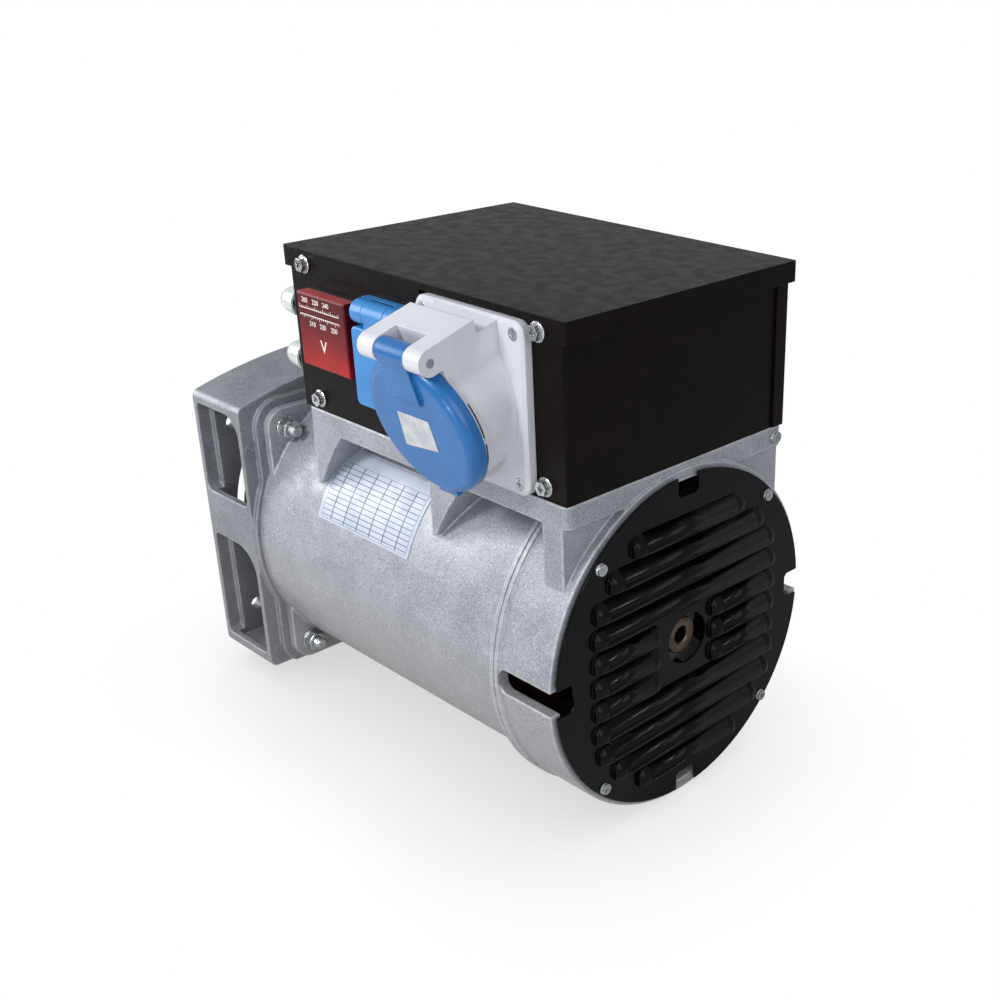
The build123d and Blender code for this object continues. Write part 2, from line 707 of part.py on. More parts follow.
def rotor_winding():
    """Two racetrack coils round the pole body, above and below the shaft."""
    inner_y = POLE_HALF_WIDTH + COIL_GAP
    outer_y = sqrt(ROTOR_R ** 2 - POLE_SHOE_Z ** 2)
    low = SHAFT_R + 2 * COIL_GAP
    high = POLE_SHOE_Z - COIL_GAP
    middle = ROTOR_X + ROTOR_LENGTH / 2
    inner = Rectangle(ROTOR_LENGTH + 2 * COIL_GAP, 2 * inner_y)
    outer = RectangleRounded(ROTOR_LENGTH + 2 * COIL_OVERHANG, 2 * outer_y, COIL_CORNER_R)
    coil = extrude(Pos(middle, 0) * (outer - inner), high - low)
    return [Pos(0, 0, low) * coil, Pos(0, 0, -high) * coil]


def rotor_diodes():
    """One diode can on the rear end of each coil."""
    end = ROTOR_X + ROTOR_LENGTH + COIL_OVERHANG
    lead_end = end + DIODE_LENGTH + DIODE_LEAD
    place = (SHAFT_R + POLE_SHOE_Z) / 2
    return [
        bar_x(DIODE_R, end, end + DIODE_LENGTH, 0, z)
        + bar_x(DIODE_LEAD_R, end + DIODE_LENGTH / 2, lead_end, 0, z)
        for z in (-place, place)
    ]


def rotor_shaft():
    """Stepped shaft with a taper bore at the engine end."""
    end_of_taper = SHAFT_MOUTH_X + TAPER_LENGTH
    fan_end = FAN_X + FAN_PLATE + FAN_BLADE_LENGTH
    core_end = ROTOR_X + ROTOR_LENGTH + SHAFT_STEP
    neck_r = BEARING_BORE_R + SHAFT_NECK_WALL
    return turned([
        (SHAFT_MOUTH_X, TAPER_MOUTH_R),
        (SHAFT_MOUTH_X, SHAFT_FAN_R),
        (fan_end, SHAFT_FAN_R),
        (fan_end + SHAFT_R - SHAFT_FAN_R, SHAFT_R),
        (core_end, SHAFT_R),
        (core_end, neck_r),
        (BEARING_X, neck_r),
        (BEARING_X, BEARING_BORE_R),
        (SHAFT_END_X - SHAFT_CHAMFER, BEARING_BORE_R),
        (SHAFT_END_X, BEARING_BORE_R - SHAFT_CHAMFER),
        (SHAFT_END_X, STAY_BOLT_HOLE_R + SHAFT_CHAMFER),
        (SHAFT_END_X - SHAFT_CHAMFER, STAY_BOLT_HOLE_R),
        (end_of_taper, STAY_BOLT_HOLE_R),
        (end_of_taper, TAPER_END_R),
    ])


def cooling_fan():
    """Radial fan: back plate, hub and blades."""
    plate_end = FAN_X + FAN_PLATE
    blade_end = plate_end + FAN_BLADE_LENGTH
    start = FAN_X + CUT_OVER
    half = FAN_BLADE_THICK / 2
    fan = bar_x(FAN_R, FAN_X, plate_end)
    fan += bar_x(FAN_HUB_R, FAN_X, blade_end)
    blade = block((start, FAN_EYE_R, -half), (blade_end, FAN_R - CUT_OVER, half))
    low = (start, FAN_HUB_R - CUT_OVER, -half)
    rib = block(low, (plate_end + FAN_PLATE, FAN_EYE_R + CUT_OVER, half))
    for step in range(FAN_BLADES):
        fan += Rot(360 / FAN_BLADES * step, 0, 0) * (blade + rib)
    return fan - bar_x(SHAFT_FAN_R + SEAT_GAP, FAN_X - CUT_OVER, blade_end + CUT_OVER)


def bearing_ring(low, high):
    """One race with a half-round groove for the balls."""
    race = tube_x(high, low, BEARING_X, BEARING_X + BEARING_WIDTH)
    ring = Torus(ball_circle_r(), BALL_R + RUN_GAP)
    return race - Pos(BEARING_X + BEARING_WIDTH / 2, 0, 0) * Rot(0, 90, 0) * ring


def ball_circle_r():
    """Radius of the circle through the ball centres."""
    return (BEARING_BORE_R + BEARING_OUTER_R) / 2


def bearing_balls():
    """The row of balls."""
    ball = Pos(BEARING_X + BEARING_WIDTH / 2, ball_circle_r(), 0) * Sphere(BALL_R)
    return [Rot(360 / BALLS * step, 0, 0) * ball for step in range(BALLS)]


# ---------------------------------------------------------------- terminal box
def box_frame():
    """Bent tray: floor, two end walls and the flanges that take the panels."""
    low = BASE_TOP_Z + SEAT_GAP
    inner = BOX_HALF_WIDTH - SHEET - SEAT_GAP
    rear = BOX_REAR_X - SHEET - SEAT_GAP
    flange = BOX_FLANGE + SHEET
    tray = block((BOX_FRONT_X, -inner, low), (rear, inner, BOX_TOP_Z))
    tray -= block(
        (BOX_FRONT_X + SHEET, -inner - CUT_OVER, low + SHEET),
        (rear - SHEET, inner + CUT_OVER, BOX_TOP_Z + CUT_OVER),
    )
    for side in (-1, 1):
        low_y, high_y = sorted((side * inner, side * (inner - SHEET)))
        for start in (BOX_FRONT_X, rear - flange):
            tray += block((start, low_y, low), (start + flange, high_y, BOX_TOP_Z))
    tray -= lead_cut(0, low + SHEET + CUT_OVER)
    for z in BREAKER_Z:
        neck_r = BREAKER_NECK_R + SEAT_GAP
        tray -= bar_x(neck_r, BOX_FRONT_X - CUT_OVER, BOX_FRONT_X + SHEET + CUT_OVER, BREAKER_Y, z)
    reach = CUT_OVER + SHEET
    for x, z in front_screw_places():
        tray -= bar_y(M5_R + SEAT_GAP, -inner - CUT_OVER, -inner + reach, x, z)
    for x, z in back_screw_places():
        tray -= bar_y(M5_R + SEAT_GAP, inner - reach, inner + CUT_OVER, x, z)
    return tray


def front_screw_places():
    """X and Z of the four front panel screws."""
    rear = BOX_REAR_X - 2 * SHEET
    columns = (BOX_FRONT_X + FRONT_SCREW_INSET, rear - FRONT_SCREW_REAR_INSET)
    return [(x, z) for x in columns for z in (FRONT_SCREW_LOW_Z, FRONT_SCREW_TOP_Z)]


def back_screw_places():
    """X and Z of the four back panel screws."""
    columns = (BOX_FRONT_X + BACK_SCREW_INSET, BOX_REAR_X - BACK_SCREW_INSET)
    return [(x, z) for x in columns for z in (BACK_SCREW_LOW_Z, BACK_SCREW_TOP_Z)]


def socket_plane():
    """Local frame of the industrial socket: Z out of its mouth, Y up the tilted face."""
    tilt = radians(IND_TILT)
    origin = (IND_X, PANEL_Y - IND_FLANGE, IND_Z)
    return Plane(origin=origin, x_dir=(1, 0, 0), z_dir=(0, -cos(tilt), -sin(tilt))).location


def flange_screw_places():
    """X and Z of the four screws in the industrial socket's flange."""
    return [(IND_X + y, IND_Z + z) for y, z in mirrored_pairs(IND_FIX_Y / 2, IND_FIX_Z / 2)]


def box_front_panel():
    """Flat panel with the socket and meter cut-outs."""
    rear = BOX_REAR_X - SHEET - SEAT_GAP
    start = PANEL_Y - CUT_OVER
    end = PANEL_Y + SHEET + CUT_OVER
    panel = block((BOX_FRONT_X, PANEL_Y, BASE_TOP_Z + SEAT_GAP), (rear, PANEL_Y + SHEET, BOX_TOP_Z))
    low_x, low_z, high_x, high_z = meter_barrel(SEAT_GAP)
    panel -= block((low_x, start, low_z), (high_x, end, high_z))
    x, z = house_centre()
    panel -= bar_y(HOUSE_BODY_R + SEAT_GAP, start, end, x, z)
    panel -= bar_y(IND_COLLAR_R, start, end, IND_X, IND_Z + IND_LEAN)
    for x, z in flange_screw_places():
        panel -= bar_y(M4_R + SEAT_GAP, start, end, x, z)
    for x, z in front_screw_places():
        panel -= bar_y(M5_R + SEAT_GAP, start, end, x, z)
    return panel


def box_back_panel():
    """Back panel with flanges folded over both end walls."""
    low = BASE_TOP_Z + SEAT_GAP
    front = BOX_FRONT_X - SHEET - SEAT_GAP
    inner = BOX_HALF_WIDTH - SHEET
    panel = block((front, inner, low), (BOX_REAR_X, BOX_HALF_WIDTH, BOX_TOP_Z))
    for x in (front, BOX_REAR_X - SHEET):
        low_corner = (x, BOX_HALF_WIDTH - BACK_FLANGE, low)
        panel += block(low_corner, (x + SHEET, BOX_HALF_WIDTH, BOX_TOP_Z))
    for x, z in back_screw_places():
        panel -= bar_y(M5_R + SEAT_GAP, inner - CUT_OVER, BOX_HALF_WIDTH + CUT_OVER, x, z)
    return panel


def box_lid():
    """Folded lid with a skirt round all four sides."""
    low_x = BOX_FRONT_X - LID_OVERHANG - SHEET
    high_x = BOX_REAR_X + LID_OVERHANG
    low_y = PANEL_Y - LID_FRONT_OVERHANG
    high_y = BOX_HALF_WIDTH + LID_OVERHANG
    skirt_z = LID_TOP_Z - LID_SKIRT
    lid = block((low_x, low_y, skirt_z), (high_x, high_y, LID_TOP_Z))
    lid = fillet(lid.edges().filter_by(Axis.Z), LID_CORNER_R)
    lid -= block(
        (low_x + SHEET, low_y + SHEET, skirt_z - CUT_OVER),
        (high_x - SHEET, high_y - SHEET, LID_TOP_Z - SHEET),
    )
    start = low_y - CUT_OVER
    end = low_y + SHEET + CUT_OVER
    for x, z in front_screw_places():
        if z == FRONT_SCREW_TOP_Z:
            lid -= bar_y(M5_R + SEAT_GAP, start, end, x, z)
    half = IND_WIDTH / 2 + MOVE_GAP
    top = IND_Z + IND_HEIGHT / 2 + MOVE_GAP
    return lid - block((IND_X - half, start, skirt_z - CUT_OVER), (IND_X + half, end, top))


def panel_screw(face_y, facing):
    """Hex washer-head screw that enters a face at face_y; facing is the way the head points."""
    head = Cylinder(PANEL_SCREW_WASHER_R, PANEL_SCREW_WASHER, align=FACE_CENTRE)
    head += hexagon_bar(PANEL_SCREW_FLATS, PANEL_SCREW_WASHER + PANEL_SCREW_HEAD)
    shank = Cylinder(M5_R, PANEL_SCREW_LENGTH + PANEL_SCREW_WASHER, align=FACE_CENTRE)
    head += Pos(0, 0, -PANEL_SCREW_LENGTH) * shank
    return Pos(0, face_y, 0) * Rot(90 if facing < 0 else -90, 0, 0) * head


def front_panel_screws():
    """Four screws; the upper two pass through the lid's skirt."""
    screws = []
    for x, z in front_screw_places():
        face_y = PANEL_Y - SEAT_GAP
        if z == FRONT_SCREW_TOP_Z:
            face_y -= LID_FRONT_OVERHANG
        screws.append(Pos(x, 0, z) * panel_screw(face_y, -1))
    return screws


def back_panel_screws():
    """Four screws in the back panel."""
    screw = panel_screw(BOX_HALF_WIDTH + SEAT_GAP, 1)
    return [Pos(x, 0, z) * screw for x, z in back_screw_places()]


# ---------------------------------------------------------------- voltmeter
def meter_barrel(grow):
    """Low X, low Z, high X and high Z of the meter's square barrel, grown by a clearance."""
    inset = (METER_WIDTH - METER_BARREL) / 2 - grow
    lift = (METER_HEIGHT - METER_BARREL) / 2 - grow
    high_x = METER_X + METER_WIDTH - inset
    high_z = METER_Z + METER_HEIGHT - lift
    return METER_X + inset, METER_Z + lift, high_x, high_z


def voltmeter_case():
    """Opaque case behind the panel and the bezel plate in front of it."""
    low_x, low_z, high_x, high_z = meter_barrel(0)
    high = (METER_X + METER_WIDTH, PANEL_Y - SEAT_GAP, METER_Z + METER_HEIGHT)
    plate = block((METER_X, PANEL_Y - METER_BEZEL, METER_Z), high)
    return plate + block((low_x, PANEL_Y - CUT_OVER, low_z), (high_x, PANEL_Y + METER_DEPTH, high_z))


def voltmeter_window():
    """Thick translucent front block."""
    back_y = PANEL_Y - METER_BEZEL - SEAT_GAP
    low = (METER_X, PANEL_Y - METER_PROUD, METER_Z)
    window = block(low, (METER_X + METER_WIDTH, back_y, METER_Z + METER_HEIGHT))
    return fillet(window.edges().group_by(Axis.Y)[0], METER_EDGE_R)


# ---------------------------------------------------------------- household socket
def house_centre():
    """Centre of the household socket in X and Z."""
    return HOUSE_X + HOUSE_SIZE / 2, HOUSE_Z + HOUSE_SIZE / 2


def house_hinge():
    """Y and Z of the household lid's hinge pin."""
    return PANEL_Y - HOUSE_BARREL_R - 2 * MOVE_GAP, HOUSE_Z + HOUSE_SIZE + HOUSE_BARREL_R


def household_socket_body():
    """Flange, round body, plug recess and the two end knuckles of the hinge."""
    x, z = house_centre()
    hinge_y, hinge_z = house_hinge()
    end_x = HOUSE_X + HOUSE_SIZE
    back_y = PANEL_Y - SEAT_GAP
    front_y = PANEL_Y - HOUSE_BASE
    floor_y = front_y + HOUSE_RECESS
    flange = block((HOUSE_X, front_y, HOUSE_Z), (end_x, back_y, hinge_z + HOUSE_BARREL_R))
    flange = fillet(flange.edges().filter_by(Axis.Y), HOUSE_FLANGE_R)
    barrel_r = HOUSE_BARREL_R + MOVE_GAP
    flange -= bar_x(barrel_r, HOUSE_X - CUT_OVER, end_x + CUT_OVER, hinge_y, hinge_z)
    body = flange + bar_y(HOUSE_BODY_R, back_y - CUT_OVER, PANEL_Y + HOUSE_DEPTH, x, z)
    body -= bar_y(HOUSE_RECESS_R, front_y - CUT_OVER, floor_y, x, z)
    for side in (-1, 1):
        at_x = x + side * HOUSE_PIN_PITCH / 2
        body -= bar_y(HOUSE_PIN_HOLE_R, floor_y - CUT_OVER, floor_y + HOUSE_PIN_HOLE, at_x, z)
    half = HOUSE_BARREL_LENGTH / 2
    knuckle = HOUSE_BARREL_LENGTH / 4
    for start in (x - half, x + half - knuckle):
        end = start + knuckle
        body += bar_x(HOUSE_BARREL_R, start, end, hinge_y, hinge_z)
        body += block((start, hinge_y, hinge_z), (end, back_y, hinge_z + HOUSE_BARREL_R))
    pin_r = HOUSE_PIN_R + RUN_GAP
    return body - bar_x(pin_r, HOUSE_X - CUT_OVER, end_x + CUT_OVER, hinge_y, hinge_z)


def household_earth_clips():
    """Two earth springs at the top and bottom of the recess."""
    x, z = house_centre()
    front_y = PANEL_Y - HOUSE_BASE
    high = HOUSE_RECESS_R - CLIP_WALL_GAP
    low = high - CLIP_THICK
    end_y = front_y + HOUSE_RECESS - SEAT_GAP
    half = CLIP_WIDTH / 2
    clips = []
    for side in (-1, 1):
        low_z, high_z = sorted((side * low, side * high))
        clips.append(block((x - half, front_y + CLIP_START, z + low_z), (x + half, end_y, z + high_z)))
    return clips


def household_hinge_pin():
    """Pin of the household lid."""
    x, _ = house_centre()
    half = HOUSE_BARREL_LENGTH / 2
    return bar_x(HOUSE_PIN_R, x - half, x + half, *house_hinge())


def household_socket_lid():
    """Sprung lid: square plate with the middle knuckle of the hinge."""
    x, z = house_centre()
    hinge = house_hinge()
    back_y = PANEL_Y - HOUSE_BASE - MOVE_GAP
    front_y = back_y - HOUSE_LID_THICK
    half = HOUSE_SIZE / 2 - HOUSE_LID_INSET
    top = HOUSE_Z + HOUSE_SIZE - HOUSE_LID_INSET
    plate = block((x - half, front_y, HOUSE_Z), (x + half, back_y, top))
    plate = fillet(plate.edges().filter_by(Axis.Y), HOUSE_LID_CORNER_R)
    plate = fillet(plate.edges().group_by(Axis.Y)[0], HOUSE_LID_EDGE_R)
    middle = HOUSE_BARREL_LENGTH / 4 - MOVE_GAP
    for side in (-1, 1):
        ends = sorted((x + side * middle, x + side * (half + CUT_OVER)))
        plate -= bar_x(HOUSE_BARREL_R + MOVE_GAP, *ends, *hinge)
    cup_r = HOUSE_RECESS_R + HOUSE_LID_CUP
    plate -= bar_y(cup_r, front_y + HOUSE_LID_SKIN, back_y + CUT_OVER, x, z)
    knuckle = bar_x(HOUSE_BARREL_R, x - middle, x + middle, *hinge)
    arm = block((x - middle, front_y, top - HOUSE_ARM), (x + middle, back_y - CUT_OVER, hinge[1]))
    pin = bar_x(HOUSE_PIN_R + RUN_GAP, HOUSE_X, HOUSE_X + HOUSE_SIZE, *hinge)
    return plate + knuckle + arm - pin


# ---------------------------------------------------------------- industrial socket
def socket_disc(radius, start, end, x=0.0, y=0.0):
    """Round bar along the socket's own axis."""
    return bar_z(radius, start, end, x, y)


def industrial_hinge():
    """Height and reach of the lid's hinge in the socket's own frame."""
    return IND_HINGE_RISE, IND_MOUTH + IND_HINGE_OUT


def industrial_socket_housing():
    """Flange, tilted collar, hood with hinge cheeks."""
    half_x = IND_WIDTH / 2
    half_z = IND_HEIGHT / 2
    low = (IND_X - half_x, PANEL_Y - IND_FLANGE, IND_Z - half_z)
    flange = block(low, (IND_X + half_x, PANEL_Y - SEAT_GAP, IND_Z + half_z))
    flange = fillet(flange.edges().filter_by(Axis.Y), IND_FLANGE_CORNER_R)
    flange = chamfer(flange.edges().group_by(Axis.Y)[0], IND_FLANGE_CHAMFER)
    here = socket_plane()
    rise, reach = industrial_hinge()
    cheek = IND_ARM_WIDTH / 2 + IND_CHEEK
    arm = IND_ARM_WIDTH / 2 + MOVE_GAP
    sunk = -IND_COLLAR_R / 2
    outside = socket_disc(IND_COLLAR_R, sunk, IND_MOUTH)
    outside += block((-cheek, 0, sunk), (cheek, rise, IND_MOUTH))
    outside += bar_x(IND_KNUCKLE_R, -cheek, cheek, rise, reach)
    outside += block((-cheek, rise - IND_KNUCKLE_R, 0), (cheek, rise + IND_KNUCKLE_R, reach))
    pocket_low = (-arm, IND_COLLAR_R - IND_POCKET, IND_MOUTH - IND_POCKET_DEPTH)
    pocket = block(pocket_low, (arm, rise + IND_COLLAR_R, IND_MOUTH + IND_COLLAR_R))
    bore = socket_disc(IND_COLLAR_R - IND_COLLAR_WALL, -IND_COLLAR_R, IND_MOUTH + CUT_OVER)
    pin_hole = bar_x(IND_PIN_R + RUN_GAP, -IND_WIDTH, IND_WIDTH, rise, reach)
    front = block((IND_X - FAR, -FAR, IND_Z - FAR), (IND_X + FAR, PANEL_Y - SEAT_GAP, IND_Z + FAR))
    housing = flange + (here * outside & front)
    housing -= here * (pocket + bore + pin_hole)
    sink = Rot(90, 0, 0) * Cone(M4_R, IND_SINK_R, IND_SINK, align=FACE_CENTRE)
    for x, z in flange_screw_places():
        housing -= bar_y(M4_R + OPEN_GAP, PANEL_Y - IND_FLANGE, PANEL_Y + CUT_OVER, x, z)
        housing -= Pos(x, PANEL_Y - IND_FLANGE + IND_SINK, z) * sink
    return housing


def industrial_socket_insert():
    """Contact carrier: a web across the collar with a raised boss and three contact holes."""
    web_r = IND_COLLAR_R - IND_COLLAR_WALL - SEAT_GAP
    insert = socket_disc(web_r, -IND_INSERT_BACK, IND_WEB - IND_INSERT_BACK)
    insert += socket_disc(IND_INSERT_R, -IND_INSERT_BACK, IND_MOUTH - IND_RECESS)
    for x, y in contact_places():
        insert -= socket_disc(IND_SLEEVE_R + SEAT_GAP, -IND_COLLAR_R, IND_COLLAR_R, x, y)
    return socket_plane() * insert


def contact_places():
    """The three contacts, the earth at the bottom."""
    turns = [radians(turn) for turn in (270, 30, 150)]
    return [(IND_PIN_CIRCLE_R * cos(turn), IND_PIN_CIRCLE_R * sin(turn)) for turn in turns]


def industrial_contact_sleeves():
    """Brass sleeves in the contact carrier."""
    back = -IND_INSERT_BACK - IND_SLEEVE_TAIL
    front = IND_MOUTH - IND_RECESS - CUT_OVER
    sleeve = socket_disc(IND_SLEEVE_R, back, front)
    bore_r = IND_SLEEVE_R - IND_SLEEVE_WALL
    sleeve -= socket_disc(bore_r, back + IND_SLEEVE_FLOOR, front + CUT_OVER)
    return [socket_plane() * Pos(x, y, 0) * sleeve for x, y in contact_places()]


def industrial_lid():
    """Round sprung lid with a hinge arm at the top and a finger lip at the bottom."""
    back = IND_MOUTH + MOVE_GAP
    front = back + IND_LID_THICK
    rise, reach = industrial_hinge()
    half = IND_ARM_WIDTH / 2
    lid = socket_disc(IND_LID_R, back, front)
    lid = fillet(lid.edges().group_by(Axis.Z)[-1], IND_LID_EDGE_R)
    lip_y = IND_LIP_LIFT - IND_LID_R
    lip_z = back + IND_LIP_LIFT
    lid += block(
        (-IND_LIP_WIDTH / 2, lip_y - IND_LIP / 2, lip_z),
        (IND_LIP_WIDTH / 2, lip_y + IND_LIP / 2, lip_z + IND_LIP_THICK),
    )
    arm = block((-half, IND_LID_R - IND_ARM_REACH, back), (half, rise, front + IND_ARM_STEP))
    arm = fillet(arm.edges().group_by(Axis.Z)[-1].filter_by(Axis.X), IND_ARM_EDGE_R)
    lid += arm
    lid += bar_x(IND_KNUCKLE_R - MOVE_GAP, -half, half, rise, reach)
    lid -= socket_disc(IND_COLLAR_R - IND_COLLAR_WALL, back - CUT_OVER, front - IND_LID_WALL)
    lid -= bar_x(IND_PIN_R + RUN_GAP, -IND_WIDTH, IND_WIDTH, rise, reach)
    clear = IND_KNUCKLE_R + MOVE_GAP
    for side in (-1, 1):
        near, far = sorted((side * half, side * IND_WIDTH / 2))
        lid -= bar_x(clear, near, far, rise, reach)
        lid -= block((near, rise - clear, back - CUT_OVER), (far, rise + clear, reach))
    return socket_plane() * lid


def industrial_lid_gasket():
    """Soft ring inside the lid."""
    outer = IND_COLLAR_R - IND_COLLAR_WALL - SEAT_GAP
    end = IND_MOUTH + MOVE_GAP + IND_LID_THICK - IND_LID_WALL - SEAT_GAP
    ring = socket_disc(outer, end - IND_SEAL, end)
    ring -= socket_disc(outer - IND_SEAL_WIDTH, end - IND_SEAL - CUT_OVER, end + CUT_OVER)
    return socket_plane() * ring


def industrial_hinge_pin():
    """Pin through the cheeks and the lid's arm."""
    half = IND_ARM_WIDTH / 2 + IND_CHEEK
    return socket_plane() * bar_x(IND_PIN_R, -half, half, *industrial_hinge())


def industrial_flange_screws():
    """Four countersunk screws."""
    shank_r = M4_R - SEAT_GAP
    screw = Cone(shank_r, IND_SCREW_HEAD_R, IND_SCREW_HEAD, align=FACE_CENTRE)
    screw += bar_z(shank_r, -IND_SCREW_LENGTH, IND_SCREW_HEAD / 2)
    screw = Pos(0, PANEL_Y - IND_FLANGE + IND_SINK - SEAT_GAP, 0) * Rot(90, 0, 0) * screw
    return [Pos(x, 0, z) * screw for x, z in flange_screw_places()]


# ---------------------------------------------------------------- breakers
def breaker_bodies():
    """Two breaker bodies inside the box with threaded necks through the end wall."""
    inner_x = BOX_FRONT_X + SHEET + SEAT_GAP
    neck_x = BOX_FRONT_X - BREAKER_NECK
    bodies = []
    for z in BREAKER_Z:
        body = block(
            (inner_x, BREAKER_Y - BREAKER_NEAR, z - BREAKER_HALF_HEIGHT),
            (inner_x + BREAKER_BODY, BREAKER_Y + BREAKER_FAR, z + BREAKER_HALF_HEIGHT),
        )
        body += bar_x(BREAKER_NECK_R, neck_x, inner_x + CUT_OVER, BREAKER_Y, z)
        hole_end = inner_x + BREAKER_BUTTON_HOLE
        body -= bar_x(BREAKER_BUTTON_R + RUN_GAP, neck_x - CUT_OVER, hole_end, BREAKER_Y, z)
        bodies.append(body)
    return bodies


def breaker_nuts():
    """Hex nuts on the breaker necks."""
    nut = hexagon_bar(BREAKER_NUT_FLATS, BREAKER_NUT)
    nut -= bar_z(BREAKER_NECK_R + SEAT_GAP, -CUT_OVER, BREAKER_NUT + CUT_OVER)
    seat = BOX_FRONT_X - SEAT_GAP
    return [Pos(seat, BREAKER_Y, z) * Rot(0, -90, 0) * nut for z in BREAKER_Z]


def breaker_button(z):
    """Push-to-reset button."""
    tip = BOX_FRONT_X - BREAKER_NECK - BREAKER_TRAVEL - BREAKER_BUTTON_PROUD
    hole_end = BOX_FRONT_X + SHEET + SEAT_GAP + BREAKER_BUTTON_HOLE
    inner = hole_end - BREAKER_TRAVEL - MOVE_GAP
    return bar_x(BREAKER_BUTTON_R, tip, inner, BREAKER_Y, z)


def breaker_boots():
    """Clear rubber boots over the buttons."""
    tip = BOX_FRONT_X - BOOT_LENGTH
    seat = BOX_FRONT_X - BREAKER_NUT - 2 * SEAT_GAP
    inside = tip + BOOT_WALL
    boots = []
    for z in BREAKER_Z:
        outer = turned([
            (tip, 0),
            (tip, BOOT_R * 0.45),
            (tip + BOOT_R * 0.3, BOOT_R * 0.72),
            (tip + BOOT_R * 0.75, BOOT_R * 0.9),
            (seat - BOOT_R * 0.3, BOOT_R),
            (seat, BOOT_R),
            (seat, 0),
        ])
        hollow = turned([
            (inside, 0),
            (inside, BOOT_R * 0.4),
            (tip + BOOT_R * 0.85, BOOT_R * 0.72),
            (seat + CUT_OVER, BOOT_R - BOOT_WALL),
            (seat + CUT_OVER, 0),
        ])
        boots.append(Pos(0, BREAKER_Y, z) * (outer - hollow))
    return boots


# ---------------------------------------------------------------- fasteners and small parts
def adaptor_studs():
    """Studs through the housing lugs."""
    start = ADAPTOR_DEPTH - STUD_BOSS_LENGTH
    end = HOUSING_X + FLANGE_THICK + STUD_END
    return [bar_x(M8_R, start, end, y, z) for y, z in mirrored_pairs(LUG_Y, LUG_Z)]


def adaptor_washers():
    """Plain washers under the nuts."""
    start = HOUSING_X + FLANGE_THICK + SEAT_GAP
    washer = tube_x(M8_WASHER_R, M8_R + SEAT_GAP, start, start + M8_WASHER)
    return [Pos(0, y, z) * washer for y, z in mirrored_pairs(LUG_Y, LUG_Z)]


def adaptor_nuts():
    """Hex nuts on the studs."""
    start = HOUSING_X + FLANGE_THICK + M8_WASHER + 2 * SEAT_GAP
    nut = hexagon_bar(M8_NUT_FLATS, M8_NUT) - bar_z(M8_R + SEAT_GAP, -CUT_OVER, M8_NUT + CUT_OVER)
    return [Pos(start, y, z) * Rot(0, 90, 0) * nut for y, z in mirrored_pairs(LUG_Y, LUG_Z)]


def headed_screw(x, y, z, shank_r, head_r, head, length):
    """Screw along X whose head's underside is at x, pointing out towards +X."""
    return bar_x(head_r, x, x + head, y, z) + bar_x(shank_r, x - length, x + head / 2, y, z)


def rear_cover_screws():
    """Four pan-head screws on the rear cover."""
    face = COVER_X + SEAT_GAP
    sizes = (M4_R, COVER_SCREW_HEAD_R, COVER_SCREW_HEAD, COVER_SCREW_LENGTH)
    return [headed_screw(face, y, z, *sizes) for y, z in ring_places(COVER_SCREW_PCD)]


def bracket_screws():
    """Four screws that hold the bearing bracket."""
    face = bracket_foot_x() + BRACKET_ARM_THICK + 2 * SEAT_GAP
    sizes = (M6_R, BRACKET_SCREW_HEAD_R, BRACKET_SCREW_HEAD, BRACKET_SCREW_LENGTH)
    return [headed_screw(face, y, z, *sizes) for y, z in ring_places(BRACKET_SCREW_PCD)]


def earth_screw():
    """Earth screw in the rear face of the box base."""
    sizes = (M5_R, EARTH_SCREW_HEAD_R, EARTH_SCREW_HEAD, EARTH_SCREW_LENGTH)
    return headed_screw(BASE_REAR_X + SEAT_GAP, *earth_place(), *sizes)


def box_floor_z():
    """Height on which the parts inside the terminal box stand."""
    return BASE_TOP_Z + SHEET + 2 * SEAT_GAP


def terminal_places():
    """X of each terminal stud."""
    return [BOARD_X + TERMINAL_INSET + TERMINAL_PITCH * step for step in range(TERMINALS)]


def terminal_board():
    """Moulded terminal board on the box floor."""
    low = box_floor_z()
    top = low + BOARD_THICK
    half = BOARD_WIDTH / 2
    board = block((BOARD_X, -half, low), (BOARD_X + BOARD_LENGTH, half, top))
    for x in terminal_places():
        board -= bar_z(M5_R, low + TERMINAL_SEAT, top + CUT_OVER, x, 0)
    return fillet(board.edges().filter_by(Axis.Z).group_by(Axis.X)[0], BOARD_CORNER_R)


def terminal_studs():
    """Brass studs with their nuts on the terminal board."""
    start = box_floor_z() + TERMINAL_SEAT
    nut_z = box_floor_z() + BOARD_THICK + SEAT_GAP
    stud = bar_z(M5_R - SEAT_GAP, start, start + TERMINAL_LENGTH)
    stud += Pos(0, 0, nut_z) * hexagon_bar(TERMINAL_NUT_FLATS, TERMINAL_NUT)
    return [Pos(x, 0, 0) * stud for x in terminal_places()]


def excitation_capacitor():
    """Capacitor can lying behind the terminal board."""
    z = box_floor_z() + CAPACITOR_R
    end = CAPACITOR_X + CAPACITOR_LENGTH
    can = bar_x(CAPACITOR_R, CAPACITOR_X, end, CAPACITOR_Y, z)
    return can + bar_x(CAPACITOR_TAG_R, end - CUT_OVER, end + CAPACITOR_TAG, CAPACITOR_Y, z)


